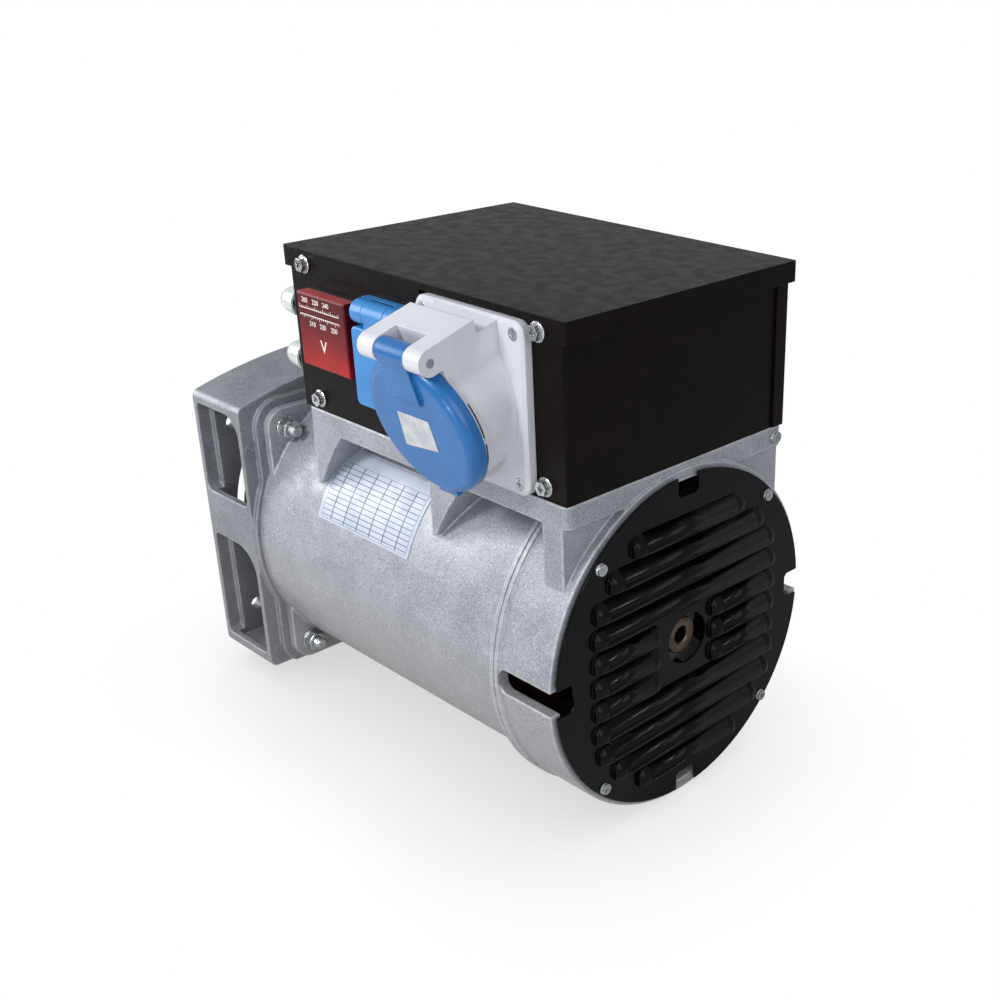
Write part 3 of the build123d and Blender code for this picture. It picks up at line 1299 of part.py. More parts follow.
# ---------------------------------------------------------------- build the nodes
keep("engine_adaptor", engine_adaptor())
keep("main_housing", main_housing())
keep("rear_bearing_bracket", rear_bearing_bracket())
keep("bracket_screws", bracket_screws())
keep("rear_cover", rear_cover())
keep("rear_cover_screws", rear_cover_screws())
keep("stator_core", stator_core())
keep("stator_winding", stator_winding())
keep("rotor_core", rotor_core())
keep("rotor_winding", rotor_winding())
keep("rotor_diodes", rotor_diodes())
keep("rotor_shaft", rotor_shaft())
keep("cooling_fan", cooling_fan())
keep("bearing_outer_race", bearing_ring(ball_circle_r() + RACE_LAND, BEARING_OUTER_R))
keep("bearing_inner_race", bearing_ring(BEARING_BORE_R + SEAT_GAP, ball_circle_r() - RACE_LAND))
keep("bearing_balls", bearing_balls())
keep("adaptor_studs", adaptor_studs())
keep("adaptor_washers", adaptor_washers())
keep("adaptor_nuts", adaptor_nuts())
keep("box_frame", box_frame())
keep("box_front_panel", box_front_panel())
keep("box_back_panel", box_back_panel())
keep("box_lid", box_lid())
keep("front_panel_screws", front_panel_screws())
keep("back_panel_screws", back_panel_screws())
keep("earth_screw", earth_screw())
keep("voltmeter_case", voltmeter_case())
keep("voltmeter_window", voltmeter_window())
keep("household_socket_body", household_socket_body())
keep("household_earth_clips", household_earth_clips())
keep("household_hinge_pin", household_hinge_pin())
keep("household_socket_lid", household_socket_lid())
keep("industrial_socket_housing", industrial_socket_housing())
keep("industrial_socket_insert", industrial_socket_insert())
keep("industrial_contact_sleeves", industrial_contact_sleeves())
keep("industrial_lid", industrial_lid())
keep("industrial_lid_gasket", industrial_lid_gasket())
keep("industrial_hinge_pin", industrial_hinge_pin())
keep("industrial_flange_screws", industrial_flange_screws())
keep("breaker_bodies", breaker_bodies())
keep("breaker_nuts", breaker_nuts())
keep("upper_breaker_button", breaker_button(BREAKER_Z[0]))
keep("lower_breaker_button", breaker_button(BREAKER_Z[1]))
keep("breaker_boots", breaker_boots())
keep("terminal_board", terminal_board())
keep("terminal_studs", terminal_studs())
keep("excitation_capacitor", excitation_capacitor())

os.makedirs("parts", exist_ok=True)
for name, shape in nodes.items():
    export_step(shape, f"parts/{name}.step")
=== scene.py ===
"""Dressed scene of a generator alternator head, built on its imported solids.

Sizes in the classes are millimetres and every mesh is made in metres in the frame of the solids: +X runs
along the shaft from the engine face to the louvred cover, +Z is up, and -Y is the socket side.
"""

import logging
import math
from dataclasses import dataclass, field
from enum import Enum
from typing import Any, Iterable, Optional, Sequence

import bmesh
import bpy
from mathutils import Matrix, Vector


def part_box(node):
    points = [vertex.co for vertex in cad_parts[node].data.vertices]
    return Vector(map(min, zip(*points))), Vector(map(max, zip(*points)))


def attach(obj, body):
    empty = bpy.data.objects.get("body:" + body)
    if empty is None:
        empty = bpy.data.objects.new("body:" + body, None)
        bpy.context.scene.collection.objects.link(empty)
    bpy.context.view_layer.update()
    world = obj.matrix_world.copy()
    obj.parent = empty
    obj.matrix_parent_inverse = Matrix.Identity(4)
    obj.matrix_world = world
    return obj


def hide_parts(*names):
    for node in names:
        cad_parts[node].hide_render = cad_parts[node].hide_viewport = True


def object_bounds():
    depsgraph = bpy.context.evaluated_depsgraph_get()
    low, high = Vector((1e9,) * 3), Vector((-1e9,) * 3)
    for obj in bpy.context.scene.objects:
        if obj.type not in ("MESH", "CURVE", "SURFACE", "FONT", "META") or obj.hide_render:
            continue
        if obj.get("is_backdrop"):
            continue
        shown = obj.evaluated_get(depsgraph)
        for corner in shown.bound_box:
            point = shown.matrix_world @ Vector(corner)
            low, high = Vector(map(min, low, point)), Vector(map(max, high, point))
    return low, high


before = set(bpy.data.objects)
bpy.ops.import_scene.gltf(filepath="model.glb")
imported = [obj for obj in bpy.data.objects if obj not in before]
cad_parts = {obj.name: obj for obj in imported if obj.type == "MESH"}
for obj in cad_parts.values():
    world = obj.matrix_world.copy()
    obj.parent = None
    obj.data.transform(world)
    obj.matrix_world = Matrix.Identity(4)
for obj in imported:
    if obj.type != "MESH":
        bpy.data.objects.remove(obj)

LOG = logging.getLogger("alternator_head")
MM = 0.001

FACE_X = Matrix(((0, 0, 1, 0), (1, 0, 0, 0), (0, 1, 0, 0), (0, 0, 0, 1)))

Colour = tuple[float, float, float]
Point2 = tuple[float, float]
Point3 = tuple[float, float, float]
Socket = bpy.types.NodeSocket


class Body(Enum):
    """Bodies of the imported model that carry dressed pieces."""

    STATOR = "stator"
    INDUSTRIAL_LID = "industrial_lid"
    HOUSEHOLD_LID = "household_lid"


class Slot(Enum):
    """Material slots of the record."""

    CAST_DARK = "cast_dark"
    CAST_ALUMINIUM = "cast_aluminium"
    COVER_BLACK = "cover_black"
    BOX_BLACK = "box_black"
    ZINC_STEEL = "zinc_steel"
    MACHINED_STEEL = "machined_steel"
    LAMINATION = "lamination"
    COPPER_WINDING = "copper_winding"
    FAN_BLACK = "fan_black"
    DIODE_DARK = "diode_dark"
    METER_RED = "meter_red"
    HOUSEHOLD_BLUE = "household_blue"
    BRASS = "brass"
    SOCKET_WHITE = "socket_white"
    INDUSTRIAL_BLUE = "industrial_blue"
    SEAL_RUBBER = "seal_rubber"
    BOOT_CLEAR = "boot_clear"
    BUTTON_GREEN = "button_green"
    CAPACITOR_GREY = "capacitor_grey"


# ---------------------------------------------------------------------------------------------- finishes
def shade(red: int, green: int, blue: int) -> Colour:
    """Turns a display colour into the linear one that the shader takes.

    Args:
        red: Red from 0 to 255.
        green: Green from 0 to 255.
        blue: Blue from 0 to 255.

    Returns:
        The linear colour.
    """
    parts = (value / 255 for value in (red, green, blue))
    return tuple(c / 12.92 if c <= 0.04045 else ((c + 0.055) / 1.055) ** 2.4 for c in parts)


class Graph:
    """Node tree of one material, with short calls for what the finishes share."""

    def __init__(self, name: str) -> None:
        """Starts a material that holds a Principled surface.

        Args:
            name: Name of the material.
        """
        self.material = bpy.data.materials.new(name)
        self.material.use_nodes = True
        self.nodes = self.material.node_tree.nodes
        self.links = self.material.node_tree.links
        self.nodes.clear()
        self.surface = self.nodes.new("ShaderNodeBsdfPrincipled")
        output = self.nodes.new("ShaderNodeOutputMaterial")
        self.links.new(self.surface.outputs["BSDF"], output.inputs["Surface"])
        self.place = self.nodes.new("ShaderNodeTexCoord").outputs["Object"]
        self.geometry = self.nodes.new("ShaderNodeNewGeometry")

    def feed(self, socket: Socket, value: Any) -> None:
        """Links a socket or writes a plain value.

        Args:
            socket: Input to fill.
            value: Output socket, number or colour.
        """
        if isinstance(value, bpy.types.NodeSocket):
            self.links.new(value, socket)
        elif isinstance(value, tuple) and socket.type == "RGBA":
            socket.default_value = (*value, 1.0)
        else:
            socket.default_value = value

    def noise(self, size: float, detail: float = 3.0, rough: float = 0.55) -> Socket:
        """Soft noise.

        Args:
            size: Size of the patches in millimetres.
            detail: Octaves of finer noise.
            rough: Weight of the finer octaves.

        Returns:
            The noise, about 0.5 in the mean.
        """
        node = self.nodes.new("ShaderNodeTexNoise")
        self.links.new(self.place, node.inputs["Vector"])
        node.inputs["Scale"].default_value = 1 / (size * MM)
        node.inputs["Detail"].default_value = detail
        node.inputs["Roughness"].default_value = rough
        return node.outputs["Fac"]

    def cells(self, size: float) -> Socket:
        """Distance to the middle of each cell, for cells of a size in millimetres."""
        node = self.nodes.new("ShaderNodeTexVoronoi")
        self.links.new(self.place, node.inputs["Vector"])
        node.inputs["Scale"].default_value = 1 / (size * MM)
        return node.outputs["Distance"]

    def span(self, value: Socket, low: float, high: float, to_low: float, to_high: float) -> Socket:
        """Maps a value smoothly from one range to another and holds it there."""
        node = self.nodes.new("ShaderNodeMapRange")
        node.interpolation_type = "SMOOTHSTEP"
        names = ("Value", "From Min", "From Max", "To Min", "To Max")
        for name, part in zip(names, (value, low, high, to_low, to_high)):
            self.feed(node.inputs[name], part)
        return node.outputs["Result"]

    def maths(self, operation: str, first: Any, second: Any = 0.0) -> Socket:
        """One arithmetic step on two values."""
        node = self.nodes.new("ShaderNodeMath")
        node.operation = operation
        self.feed(node.inputs[0], first)
        self.feed(node.inputs[1], second)
        return node.outputs[0]

    def mix(self, factor: Any, first: Any, second: Any) -> Socket:
        """Blend of two colours."""
        node = self.nodes.new("ShaderNodeMix")
        node.data_type = "RGBA"
        self.feed(node.inputs[0], factor)
        self.feed(node.inputs[6], first)
        self.feed(node.inputs[7], second)
        return node.outputs[2]

    def axis(self, name: str, normal: bool = False) -> Socket:
        """One component of the object coordinates or of the surface normal.

        Args:
            name: X, Y or Z.
            normal: Whether to read the normal in place of the coordinates.

        Returns:
            The component.
        """
        node = self.nodes.new("ShaderNodeSeparateXYZ")
        self.links.new(self.geometry.outputs["Normal"] if normal else self.place, node.inputs[0])
        return node.outputs[name]

    def rounded(self, radius: float) -> Socket:
        """Normal with the sharp edges rounded over.

        Args:
            radius: Radius in millimetres.

        Returns:
            The normal.
        """
        node = self.nodes.new("ShaderNodeBevel")
        node.samples = 6
        node.inputs["Radius"].default_value = radius * MM
        return node.outputs["Normal"]

    def edges(self, radius: float) -> Socket:
        """Mask that is 1 on edges and 0 on flat ground.

        Args:
            radius: Width of the edge band in millimetres.

        Returns:
            The mask.
        """
        node = self.nodes.new("ShaderNodeVectorMath")
        node.operation = "DOT_PRODUCT"
        self.links.new(self.rounded(radius), node.inputs[0])
        self.links.new(self.geometry.outputs["Normal"], node.inputs[1])
        return self.span(node.outputs["Value"], 0.985, 0.86, 0.0, 1.0)

    def relief(self, height: Socket, depth: float, edge: float) -> None:
        """Sends a bump over rounded edges to the surface.

        Args:
            height: Height pattern from 0 to 1.
            depth: Depth of the pattern in millimetres.
            edge: Radius of the rounded edges in millimetres.
        """
        node = self.nodes.new("ShaderNodeBump")
        node.inputs["Distance"].default_value = depth * MM
        self.links.new(height, node.inputs["Height"])
        self.links.new(self.rounded(edge), node.inputs["Normal"])
        self.links.new(node.outputs["Normal"], self.surface.inputs["Normal"])


@dataclass(frozen=True)
class Finish:
    """Plain finish with soft patches, a fine grain and rounded edges."""

    name: str
    base: Colour
    patch: Colour
    metallic: float = 0.0
    roughness: float = 0.5
    roughness_swing: float = 0.12
    patch_size: float = 35.0
    grain_size: float = 1.0
    grain_depth: float = 0.02
    edge: float = 0.5
    # Edge colour, partly rubbed wear and partly a painted highlight along the edges.
    edge_wear_and_highlight: Optional[Colour] = None
    edge_wear_and_highlight_share: float = 0.6
    coat: float = 0.0
    specular: float = 0.5

    def ground(self, graph: Graph) -> Socket:
        """Colour before the edges are worn."""
        patches = graph.span(graph.noise(self.patch_size), 0.35, 0.65, 0.0, 1.0)
        return graph.mix(patches, self.base, self.patch)

    def height(self, graph: Graph) -> Socket:
        """Height pattern of the surface."""
        return graph.noise(self.grain_size, 4.0, 0.6)

    def extras(self, graph: Graph) -> None:
        """Sets what only some finishes have."""

    def paint(self) -> bpy.types.Material:
        """Builds the material.

        Returns:
            The material.
        """
        graph = Graph(self.name)
        colour = self.ground(graph)
        # Edges: partly rubbed wear, partly painted highlight, mixed in patches along the rounded edges.
        if self.edge_wear_and_highlight:
            broken = graph.span(graph.noise(6.0), 0.3, 0.6, 0.3, 1.0)
            wear_and_highlight_mask = graph.maths("MULTIPLY", graph.edges(self.edge * 1.6), broken)
            colour = graph.mix(graph.maths("MULTIPLY", wear_and_highlight_mask, self.edge_wear_and_highlight_share), colour, self.edge_wear_and_highlight)
        surface = graph.surface.inputs
        graph.feed(surface["Base Color"], colour)
        surface["Metallic"].default_value = self.metallic
        swing = self.roughness_swing
        smooth, dull = self.roughness - swing, self.roughness + swing
        rough = graph.span(graph.noise(self.patch_size * 0.3), 0.3, 0.7, smooth, dull)
        graph.feed(surface["Roughness"], rough)
        surface["Coat Weight"].default_value = self.coat
        surface["Coat Roughness"].default_value = 0.12
        surface["Specular IOR Level"].default_value = self.specular
        graph.relief(self.height(graph), self.grain_depth, self.edge)
        self.extras(graph)
        return graph.material


@dataclass(frozen=True)
class Casting(Finish):
    """Blasted casting with dark pits, painted bright glints and a smoother lower half."""

    # Colour of the painted glints, bright specks that stand for light caught by the blasted grain.
    painted_glint: Colour = (0.95, 0.95, 0.95)
    pit: Colour = (0.1, 0.1, 0.1)
    low_tone: Colour = (0.6, 0.6, 0.6)
    low_from: float = 20.0
    low_to: float = -25.0

    def ground(self, graph: Graph) -> Socket:
        """Patches, then the smooth lower tone, then speckle, then painted glints."""
        colour = super().ground(graph)
        low = graph.span(graph.axis("Z"), self.low_from * MM, self.low_to * MM, 0.0, 1.0)
        colour = graph.mix(graph.maths("MULTIPLY", low, 0.75), colour, self.low_tone)
        speck = graph.span(graph.noise(1.2, 3.0, 0.75), 0.36, 0.50, 1.0, 0.0)
        speck = graph.maths("MULTIPLY", speck, graph.span(low, 0.0, 1.0, 0.8, 0.45))
        colour = graph.mix(speck, colour, self.pit)
        # Painted glints: bright specks mixed into the colour in place of light caught by the grain.
        painted_glint_mask = graph.span(graph.noise(1.0, 2.0, 0.8), 0.57, 0.70, 0.0, 1.0)
        return graph.mix(graph.maths("MULTIPLY", painted_glint_mask, 0.6), colour, self.painted_glint)

    def height(self, graph: Graph) -> Socket:
        """Blasted grain over slow waves of the skin."""
        waves = graph.maths("MULTIPLY", graph.noise(9.0), 1.2)
        return graph.maths("ADD", graph.noise(self.grain_size, 4.0, 0.65), waves)


@dataclass(frozen=True)
class PowderCoat(Finish):
    """Leather-like baked powder with a painted warm sheen."""

    # Colour of the painted sheen on the grain tops.
    painted_sheen: Colour = (0.05, 0.03, 0.02)

    def ground(self, graph: Graph) -> Socket:
        """Base colour with a painted warm sheen on the tops of the grain."""
        # Painted sheen: the tops of the grain cells are lightened towards a warm colour.
        top = graph.span(graph.cells(self.grain_size), 0.25, 0.7, 1.0, 0.0)
        return graph.mix(graph.maths("MULTIPLY", top, 0.45), super().ground(graph), self.painted_sheen)

    def height(self, graph: Graph) -> Socket:
        """Wrinkled cells."""
        return graph.maths("ADD", graph.cells(self.grain_size), graph.noise(self.grain_size * 2.4))


@dataclass(frozen=True)
class Banded(Finish):
    """Finish with fine bands across one axis, such as sheets in a stack or turns of wire."""

    direction: str = "X"
    pitch: float = 1.0
    dark: Colour = (0.05, 0.05, 0.05)

    def bands(self, graph: Graph) -> Socket:
        """Wave from 0 to 1 across the bands."""
        angle = graph.maths("MULTIPLY", graph.axis(self.direction), 2 * math.pi / (self.pitch * MM))
        wave = graph.maths("SINE", angle)
        return graph.span(wave, -1.0, 1.0, 0.0, 1.0)

    def ground(self, graph: Graph) -> Socket:
        """Dark lines between the bands."""
        return graph.mix(graph.span(self.bands(graph), 0.0, 0.35, 0.6, 0.0), super().ground(graph), self.dark)

    def height(self, graph: Graph) -> Socket:
        """Rounded bands with a little noise."""
        grain = graph.maths("MULTIPLY", graph.noise(self.grain_size), 0.4)
        return graph.maths("ADD", self.bands(graph), grain)


@dataclass(frozen=True)
class MeterRedPaintedLight(Finish):
    """Deep red window with painted light: a painted highlight makes it pale on top and a painted glow makes
    it brighter towards its foot.
    """

    # top is a painted highlight on the upward faces and foot a painted glow low in the window.
    top: Colour = (0.5, 0.1, 0.1)
    foot: Colour = (0.5, 0.02, 0.02)
    foot_z: float = 152.0
    glow_z: float = 186.0

    def ground(self, graph: Graph) -> Socket:
        """Painted glow that brightens the red downwards, with a painted highlight on the top face."""
        # Painted glow: the red mixes towards the bright foot colour from glow_z down to foot_z.
        depth = graph.span(graph.axis("Z"), self.glow_z * MM, self.foot_z * MM, 0.0, 1.0)
        depth = graph.maths("MULTIPLY", depth, graph.span(graph.noise(14.0), 0.3, 0.7, 0.55, 1.0))
        colour = graph.mix(depth, super().ground(graph), self.foot)
        # Painted highlight: upward-facing faces turn pale.
        return graph.mix(graph.span(graph.axis("Z", True), 0.6, 0.95, 0.0, 1.0), colour, self.top)


@dataclass(frozen=True)
class ClearRubber(Finish):
    """Milky clear rubber."""

    def extras(self, graph: Graph) -> None:
        """Lets light through."""
        graph.surface.inputs["Transmission Weight"].default_value = 0.3
        graph.surface.inputs["IOR"].default_value = 1.3


@dataclass(frozen=True)
class PlateForm(Finish):
    """Silver plate with a bare ruled form that follows its UV map."""

    ink: Colour = (0.02, 0.022, 0.03)
    columns: int = 7
    rows: int = 15

    def rule(self, graph: Graph, component: Socket, count: int, width: float) -> Socket:
        """Thin lines at equal steps.

        Args:
            graph: Material's tree.
            component: U or V.
            count: Number of steps.
            width: Share of a step that is line.

        Returns:
            The mask.
        """
        step = graph.maths("FRACT", graph.maths("MULTIPLY", component, float(count)))
        off = graph.maths("ABSOLUTE", graph.maths("SUBTRACT", step, 0.5))
        return graph.span(off, 0.5 - width, 0.5 - width / 2, 0.0, 1.0)

    def border(self, graph: Graph, across: Socket, up: Socket) -> Socket:
        """How far a point is from the middle of the plate, along the nearer edge."""
        offs = [graph.maths("ABSOLUTE", graph.maths("SUBTRACT", part, 0.5)) for part in (across, up)]
        return graph.maths("MAXIMUM", *offs)

    def ground(self, graph: Graph) -> Socket:
        """Silver with ruled lines inside a margin."""
        uv = graph.nodes.new("ShaderNodeUVMap")
        parts = graph.nodes.new("ShaderNodeSeparateXYZ")
        graph.links.new(uv.outputs["UV"], parts.inputs[0])
        across, up = parts.outputs["X"], parts.outputs["Y"]
        level, upright = self.rule(graph, up, self.rows, 0.10), self.rule(graph, across, self.columns, 0.05)
        lines = graph.maths("MAXIMUM", level, upright)
        inside = 1.0
        for part, margin in ((across, 0.035), (up, 0.035)):
            off = graph.maths("ABSOLUTE", graph.maths("SUBTRACT", part, 0.5))
            inside = graph.maths("MULTIPLY", inside, graph.maths("LESS_THAN", off, 0.5 - margin))
        rim = graph.maths("LESS_THAN", self.border(graph, across, up), 0.475)
        frame_line = graph.maths("SUBTRACT", rim, inside)
        lower = graph.maths("LESS_THAN", up, 0.8)
        shown = graph.maths("MULTIPLY", graph.maths("MULTIPLY", lines, inside), lower)
        shown = graph.maths("MAXIMUM", shown, graph.maths("MULTIPLY", frame_line, 0.5))
        return graph.mix(graph.maths("MULTIPLY", shown, 0.8), super().ground(graph), self.ink)


# Edge colours below are partly rubbed wear and partly painted highlight on the edges.
FINISHES: dict[Slot, Finish] = {
    # In both castings the glint colour is a painted highlight.
    Slot.CAST_DARK: Casting(
        "Adaptor casting", shade(124, 126, 133), shade(138, 140, 147), metallic=0.35, roughness=0.5,
        grain_size=0.9, grain_depth=0.12, edge=1.6, edge_wear_and_highlight=shade(210, 212, 216), edge_wear_and_highlight_share=0.5,
        painted_glint=shade(196, 198, 204), pit=shade(92, 94, 102), low_tone=shade(134, 135, 139)),
    Slot.CAST_ALUMINIUM: Casting(
        "Housing casting", shade(148, 151, 159), shade(164, 167, 174), metallic=0.35, roughness=0.46,
        grain_size=0.9, grain_depth=0.12, edge=1.8, edge_wear_and_highlight=shade(232, 234, 238), edge_wear_and_highlight_share=0.6,
        painted_glint=shade(240, 241, 244), pit=shade(112, 116, 125), low_tone=shade(158, 157, 156)),
    Slot.COVER_BLACK: Finish(
        "Cover gloss black", shade(3, 4, 6), shade(6, 7, 9), roughness=0.2, roughness_swing=0.04,
        grain_size=6.0, grain_depth=0.06, edge=0.6, specular=0.16),
    # The powder coat's sheen colour is a painted sheen.
    Slot.BOX_BLACK: PowderCoat(
        "Box powder coat", shade(7, 5, 5), shade(12, 8, 7), roughness=0.33, roughness_swing=0.06,
        grain_size=0.9, grain_depth=0.08, edge=0.7, painted_sheen=shade(30, 18, 14), specular=0.09),
    Slot.ZINC_STEEL: Finish(
        "Zinc plate", shade(205, 207, 208), shade(172, 176, 178), metallic=1.0, roughness=0.27,
        patch_size=5.0, grain_size=0.5, grain_depth=0.01, edge=0.35),
    Slot.MACHINED_STEEL: Banded(
        "Turned steel", shade(116, 100, 88), shade(88, 76, 66), metallic=1.0, roughness=0.42,
        patch_size=6.0, grain_size=0.4, grain_depth=0.01, edge=0.3, direction="X", pitch=0.35,
        dark=shade(52, 42, 36)),
    Slot.LAMINATION: Banded(
        "Varnished sheets", shade(96, 92, 88), shade(120, 112, 102), metallic=0.7, roughness=0.5,
        grain_depth=0.06, edge=0.3, direction="X", pitch=0.65, dark=shade(30, 28, 26)),
    # The copper's colours are partly the varnished wire's own and partly painted shade: they, and above all
    # the near-black lines between the turns, are kept dark for the shaded side slot.
    Slot.COPPER_WINDING: Banded(
        "Varnished copper wire", shade(96, 50, 28), shade(72, 36, 20), metallic=0.5, roughness=0.45,
        patch_size=9.0, grain_depth=0.3, edge=0.8, direction="X", pitch=1.3, dark=shade(24, 12, 8)),
    Slot.FAN_BLACK: Finish(
        "Fan nylon", shade(28, 28, 30), shade(36, 36, 39), roughness=0.55, grain_depth=0.03, edge=0.8),
    Slot.DIODE_DARK: Finish(
        "Moulded black", shade(26, 25, 26), shade(34, 33, 34), roughness=0.45, grain_depth=0.02, edge=0.5),
    # The meter's top and foot colours are painted highlight and painted glow.
    Slot.METER_RED: MeterRedPaintedLight(
        "Meter red", shade(78, 4, 10), shade(90, 6, 13), roughness=0.32, roughness_swing=0.05,
        grain_size=9.0, grain_depth=0.02, edge=0.7, specular=0.3, top=shade(158, 66, 70),
        foot=shade(158, 16, 18)),
    Slot.HOUSEHOLD_BLUE: Finish(
        "Household blue", shade(48, 126, 190), shade(42, 118, 183), roughness=0.34, roughness_swing=0.06,
        grain_size=0.7, grain_depth=0.012, edge=0.7, edge_wear_and_highlight=shade(120, 175, 228), edge_wear_and_highlight_share=0.35, coat=0.1),
    Slot.BRASS: Finish(
        "Brass", shade(206, 170, 96), shade(186, 148, 80), metallic=1.0, roughness=0.3, patch_size=6.0,
        edge=0.3),
    Slot.SOCKET_WHITE: Finish(
        "Socket light grey", shade(204, 204, 212), shade(196, 197, 205), roughness=0.32,
        roughness_swing=0.06, grain_size=0.8, grain_depth=0.01, edge=1.0, coat=0.15),
    Slot.INDUSTRIAL_BLUE: Finish(
        "Industrial blue", shade(18, 100, 164), shade(15, 92, 156), roughness=0.3, roughness_swing=0.06,
        grain_size=0.7, grain_depth=0.012, edge=1.0, edge_wear_and_highlight=shade(70, 150, 206), edge_wear_and_highlight_share=0.35, coat=0.15),
    Slot.SEAL_RUBBER: Finish(
        "Seal rubber", shade(26, 26, 27), shade(34, 34, 35), roughness=0.75, grain_depth=0.03, edge=0.6),
    Slot.BOOT_CLEAR: ClearRubber(
        "Clear boot", shade(226, 230, 228), shade(206, 214, 210), roughness=0.22, patch_size=9.0,
        grain_size=5.0, grain_depth=0.02, edge=0.8, coat=0.4),
    Slot.BUTTON_GREEN: Finish(
        "Button green", shade(92, 150, 120), shade(80, 136, 108), roughness=0.35, grain_depth=0.02,
        edge=0.5),
    Slot.CAPACITOR_GREY: Finish(
        "Capacitor grey", shade(160, 160, 160), shade(148, 148, 150), roughness=0.4, grain_depth=0.03,
        edge=0.8),
}


class Paints:
    """Every material, made once."""

    def __init__(self) -> None:
        """Builds the record's finishes and the few that only small marks have."""
        self.by_slot = {slot: finish.paint() for slot, finish in FINISHES.items()}
        self.ink = Finish("Scale white", shade(236, 232, 230), shade(228, 224, 222), roughness=0.5, edge=0.1,
                          grain_depth=0.005).paint()
        self.plate = PlateForm("Rating plate", shade(184, 192, 206), shade(172, 181, 196), metallic=0.1,
                               roughness=0.42, grain_size=1.4, grain_depth=0.01, edge=0.15).paint()
        self.label = Finish("Bare label", shade(208, 210, 214), shade(188, 190, 196), metallic=0.45,
                            roughness=0.3, patch_size=12.0, grain_depth=0.01, edge=0.15).paint()
        # Painted shade: the dark material of thin prisms that stand for the shadow inside narrow slits.
        self.dark = Finish("Dark recess", shade(14, 14, 15), shade(18, 18, 19), roughness=0.6,
                           edge=0.2).paint()

    def __getitem__(self, slot: Slot) -> bpy.types.Material:
        """Material of one slot."""
        return self.by_slot[slot]


# ------------------------------------------------------------------------------------------ mesh helpers
def mesh_from(name: str, vertices: Sequence[Sequence[float]],
              faces: Sequence[Sequence[int]]) -> bpy.types.Mesh:
    """Mesh from points in millimetres.

    Args:
        name: Name of the mesh.
        vertices: Points in millimetres.
        faces: Corners of each face.

    Returns:
        The mesh in metres.
    """
    mesh = bpy.data.meshes.new(name)
    mesh.from_pydata([tuple(c * MM for c in v) for v in vertices], [], faces)
    return mesh


def applied(obj: bpy.types.Object) -> bpy.types.Mesh:
    """Mesh of an object with its modifiers worked out.

    Args:
        obj: Object in the scene.

    Returns:
        A new mesh.
    """
    depsgraph = bpy.context.evaluated_depsgraph_get()
    return bpy.data.meshes.new_from_object(
        obj.evaluated_get(depsgraph), preserve_all_data_layers=True, depsgraph=depsgraph)


def hosted(name: str, data: bpy.types.ID) -> bpy.types.Object:
    """Puts data in the scene as an object."""
    obj = bpy.data.objects.new(name, data)
    bpy.context.scene.collection.objects.link(obj)
    return obj


def circle(radius: float, steps: int = 48, centre: Point2 = (0.0, 0.0)) -> list[Point2]:
    """Points of a circle."""
    turns = (2 * math.pi * i / steps for i in range(steps))
    return [(centre[0] + radius * math.cos(a), centre[1] + radius * math.sin(a)) for a in turns]


def rounded_rect(width: float, height: float, radius: float, centre: Point2 = (0.0, 0.0),
                 steps: int = 5) -> list[Point2]:
    """Outline of a rectangle with round corners.

    Args:
        width: Full width.
        height: Full height.
        radius: Corner radius.
        centre: Middle of the rectangle.
        steps: Pieces of each corner.

    Returns:
        The outline, anticlockwise.
    """
    corners = ((1, 1, 0), (-1, 1, 90), (-1, -1, 180), (1, -1, 270))
    outline = []
    for sx, sy, start in corners:
        for i in range(steps + 1):
            angle = math.radians(start + 90 * i / steps)
            x = centre[0] + sx * (width / 2 - radius) + radius * math.cos(angle)
            y = centre[1] + sy * (height / 2 - radius) + radius * math.sin(angle)
            outline.append((x, y))
    return outline


def prism(name: str, outline: Sequence[Point2], low: float, high: float,
          holes: Iterable[Sequence[Point2]] = ()) -> bpy.types.Mesh:
    """Straight prism over an outline that may have holes.

    Args:
        name: Name of the mesh.
        outline: Outer line in X and Y.
        low: Lower Z.
        high: Upper Z.
        holes: Lines of the holes.

    Returns:
        The closed mesh.
    """
    curve = bpy.data.curves.new(name, "CURVE")
    curve.dimensions = "2D"
    curve.fill_mode = "BOTH"
    curve.extrude = (high - low) / 2 * MM
    for line in (outline, *holes):
        spline = curve.splines.new("POLY")
        spline.points.add(len(line) - 1)
        for point, (x, y) in zip(spline.points, line):
            point.co = (x * MM, y * MM, 0, 1)
        spline.use_cyclic_u = True
    host = hosted(name, curve)
    mesh = applied(host)
    bpy.data.objects.remove(host)
    mesh.transform(Matrix.Translation((0, 0, (low + high) / 2 * MM)))
    return cleaned(mesh)


def cleaned(mesh: bpy.types.Mesh, flat: float = 0.0) -> bpy.types.Mesh:
    """Merges doubles, clears flat diagonals and turns the faces outwards.

    Args:
        mesh: Mesh to clean in place.
        flat: Angle in degrees under which faces are one, or 0 for none.

    Returns:
        The same mesh.
    """
    shape = bmesh.new()
    shape.from_mesh(mesh)
    bmesh.ops.remove_doubles(shape, verts=shape.verts, dist=2e-6)
    bmesh.ops.dissolve_degenerate(shape, edges=shape.edges, dist=1e-6)
    if flat:
        bmesh.ops.dissolve_limit(shape, angle_limit=math.radians(flat), verts=shape.verts, edges=shape.edges)
    bmesh.ops.recalc_face_normals(shape, faces=shape.faces)
    shape.to_mesh(mesh)
    shape.free()
    return mesh


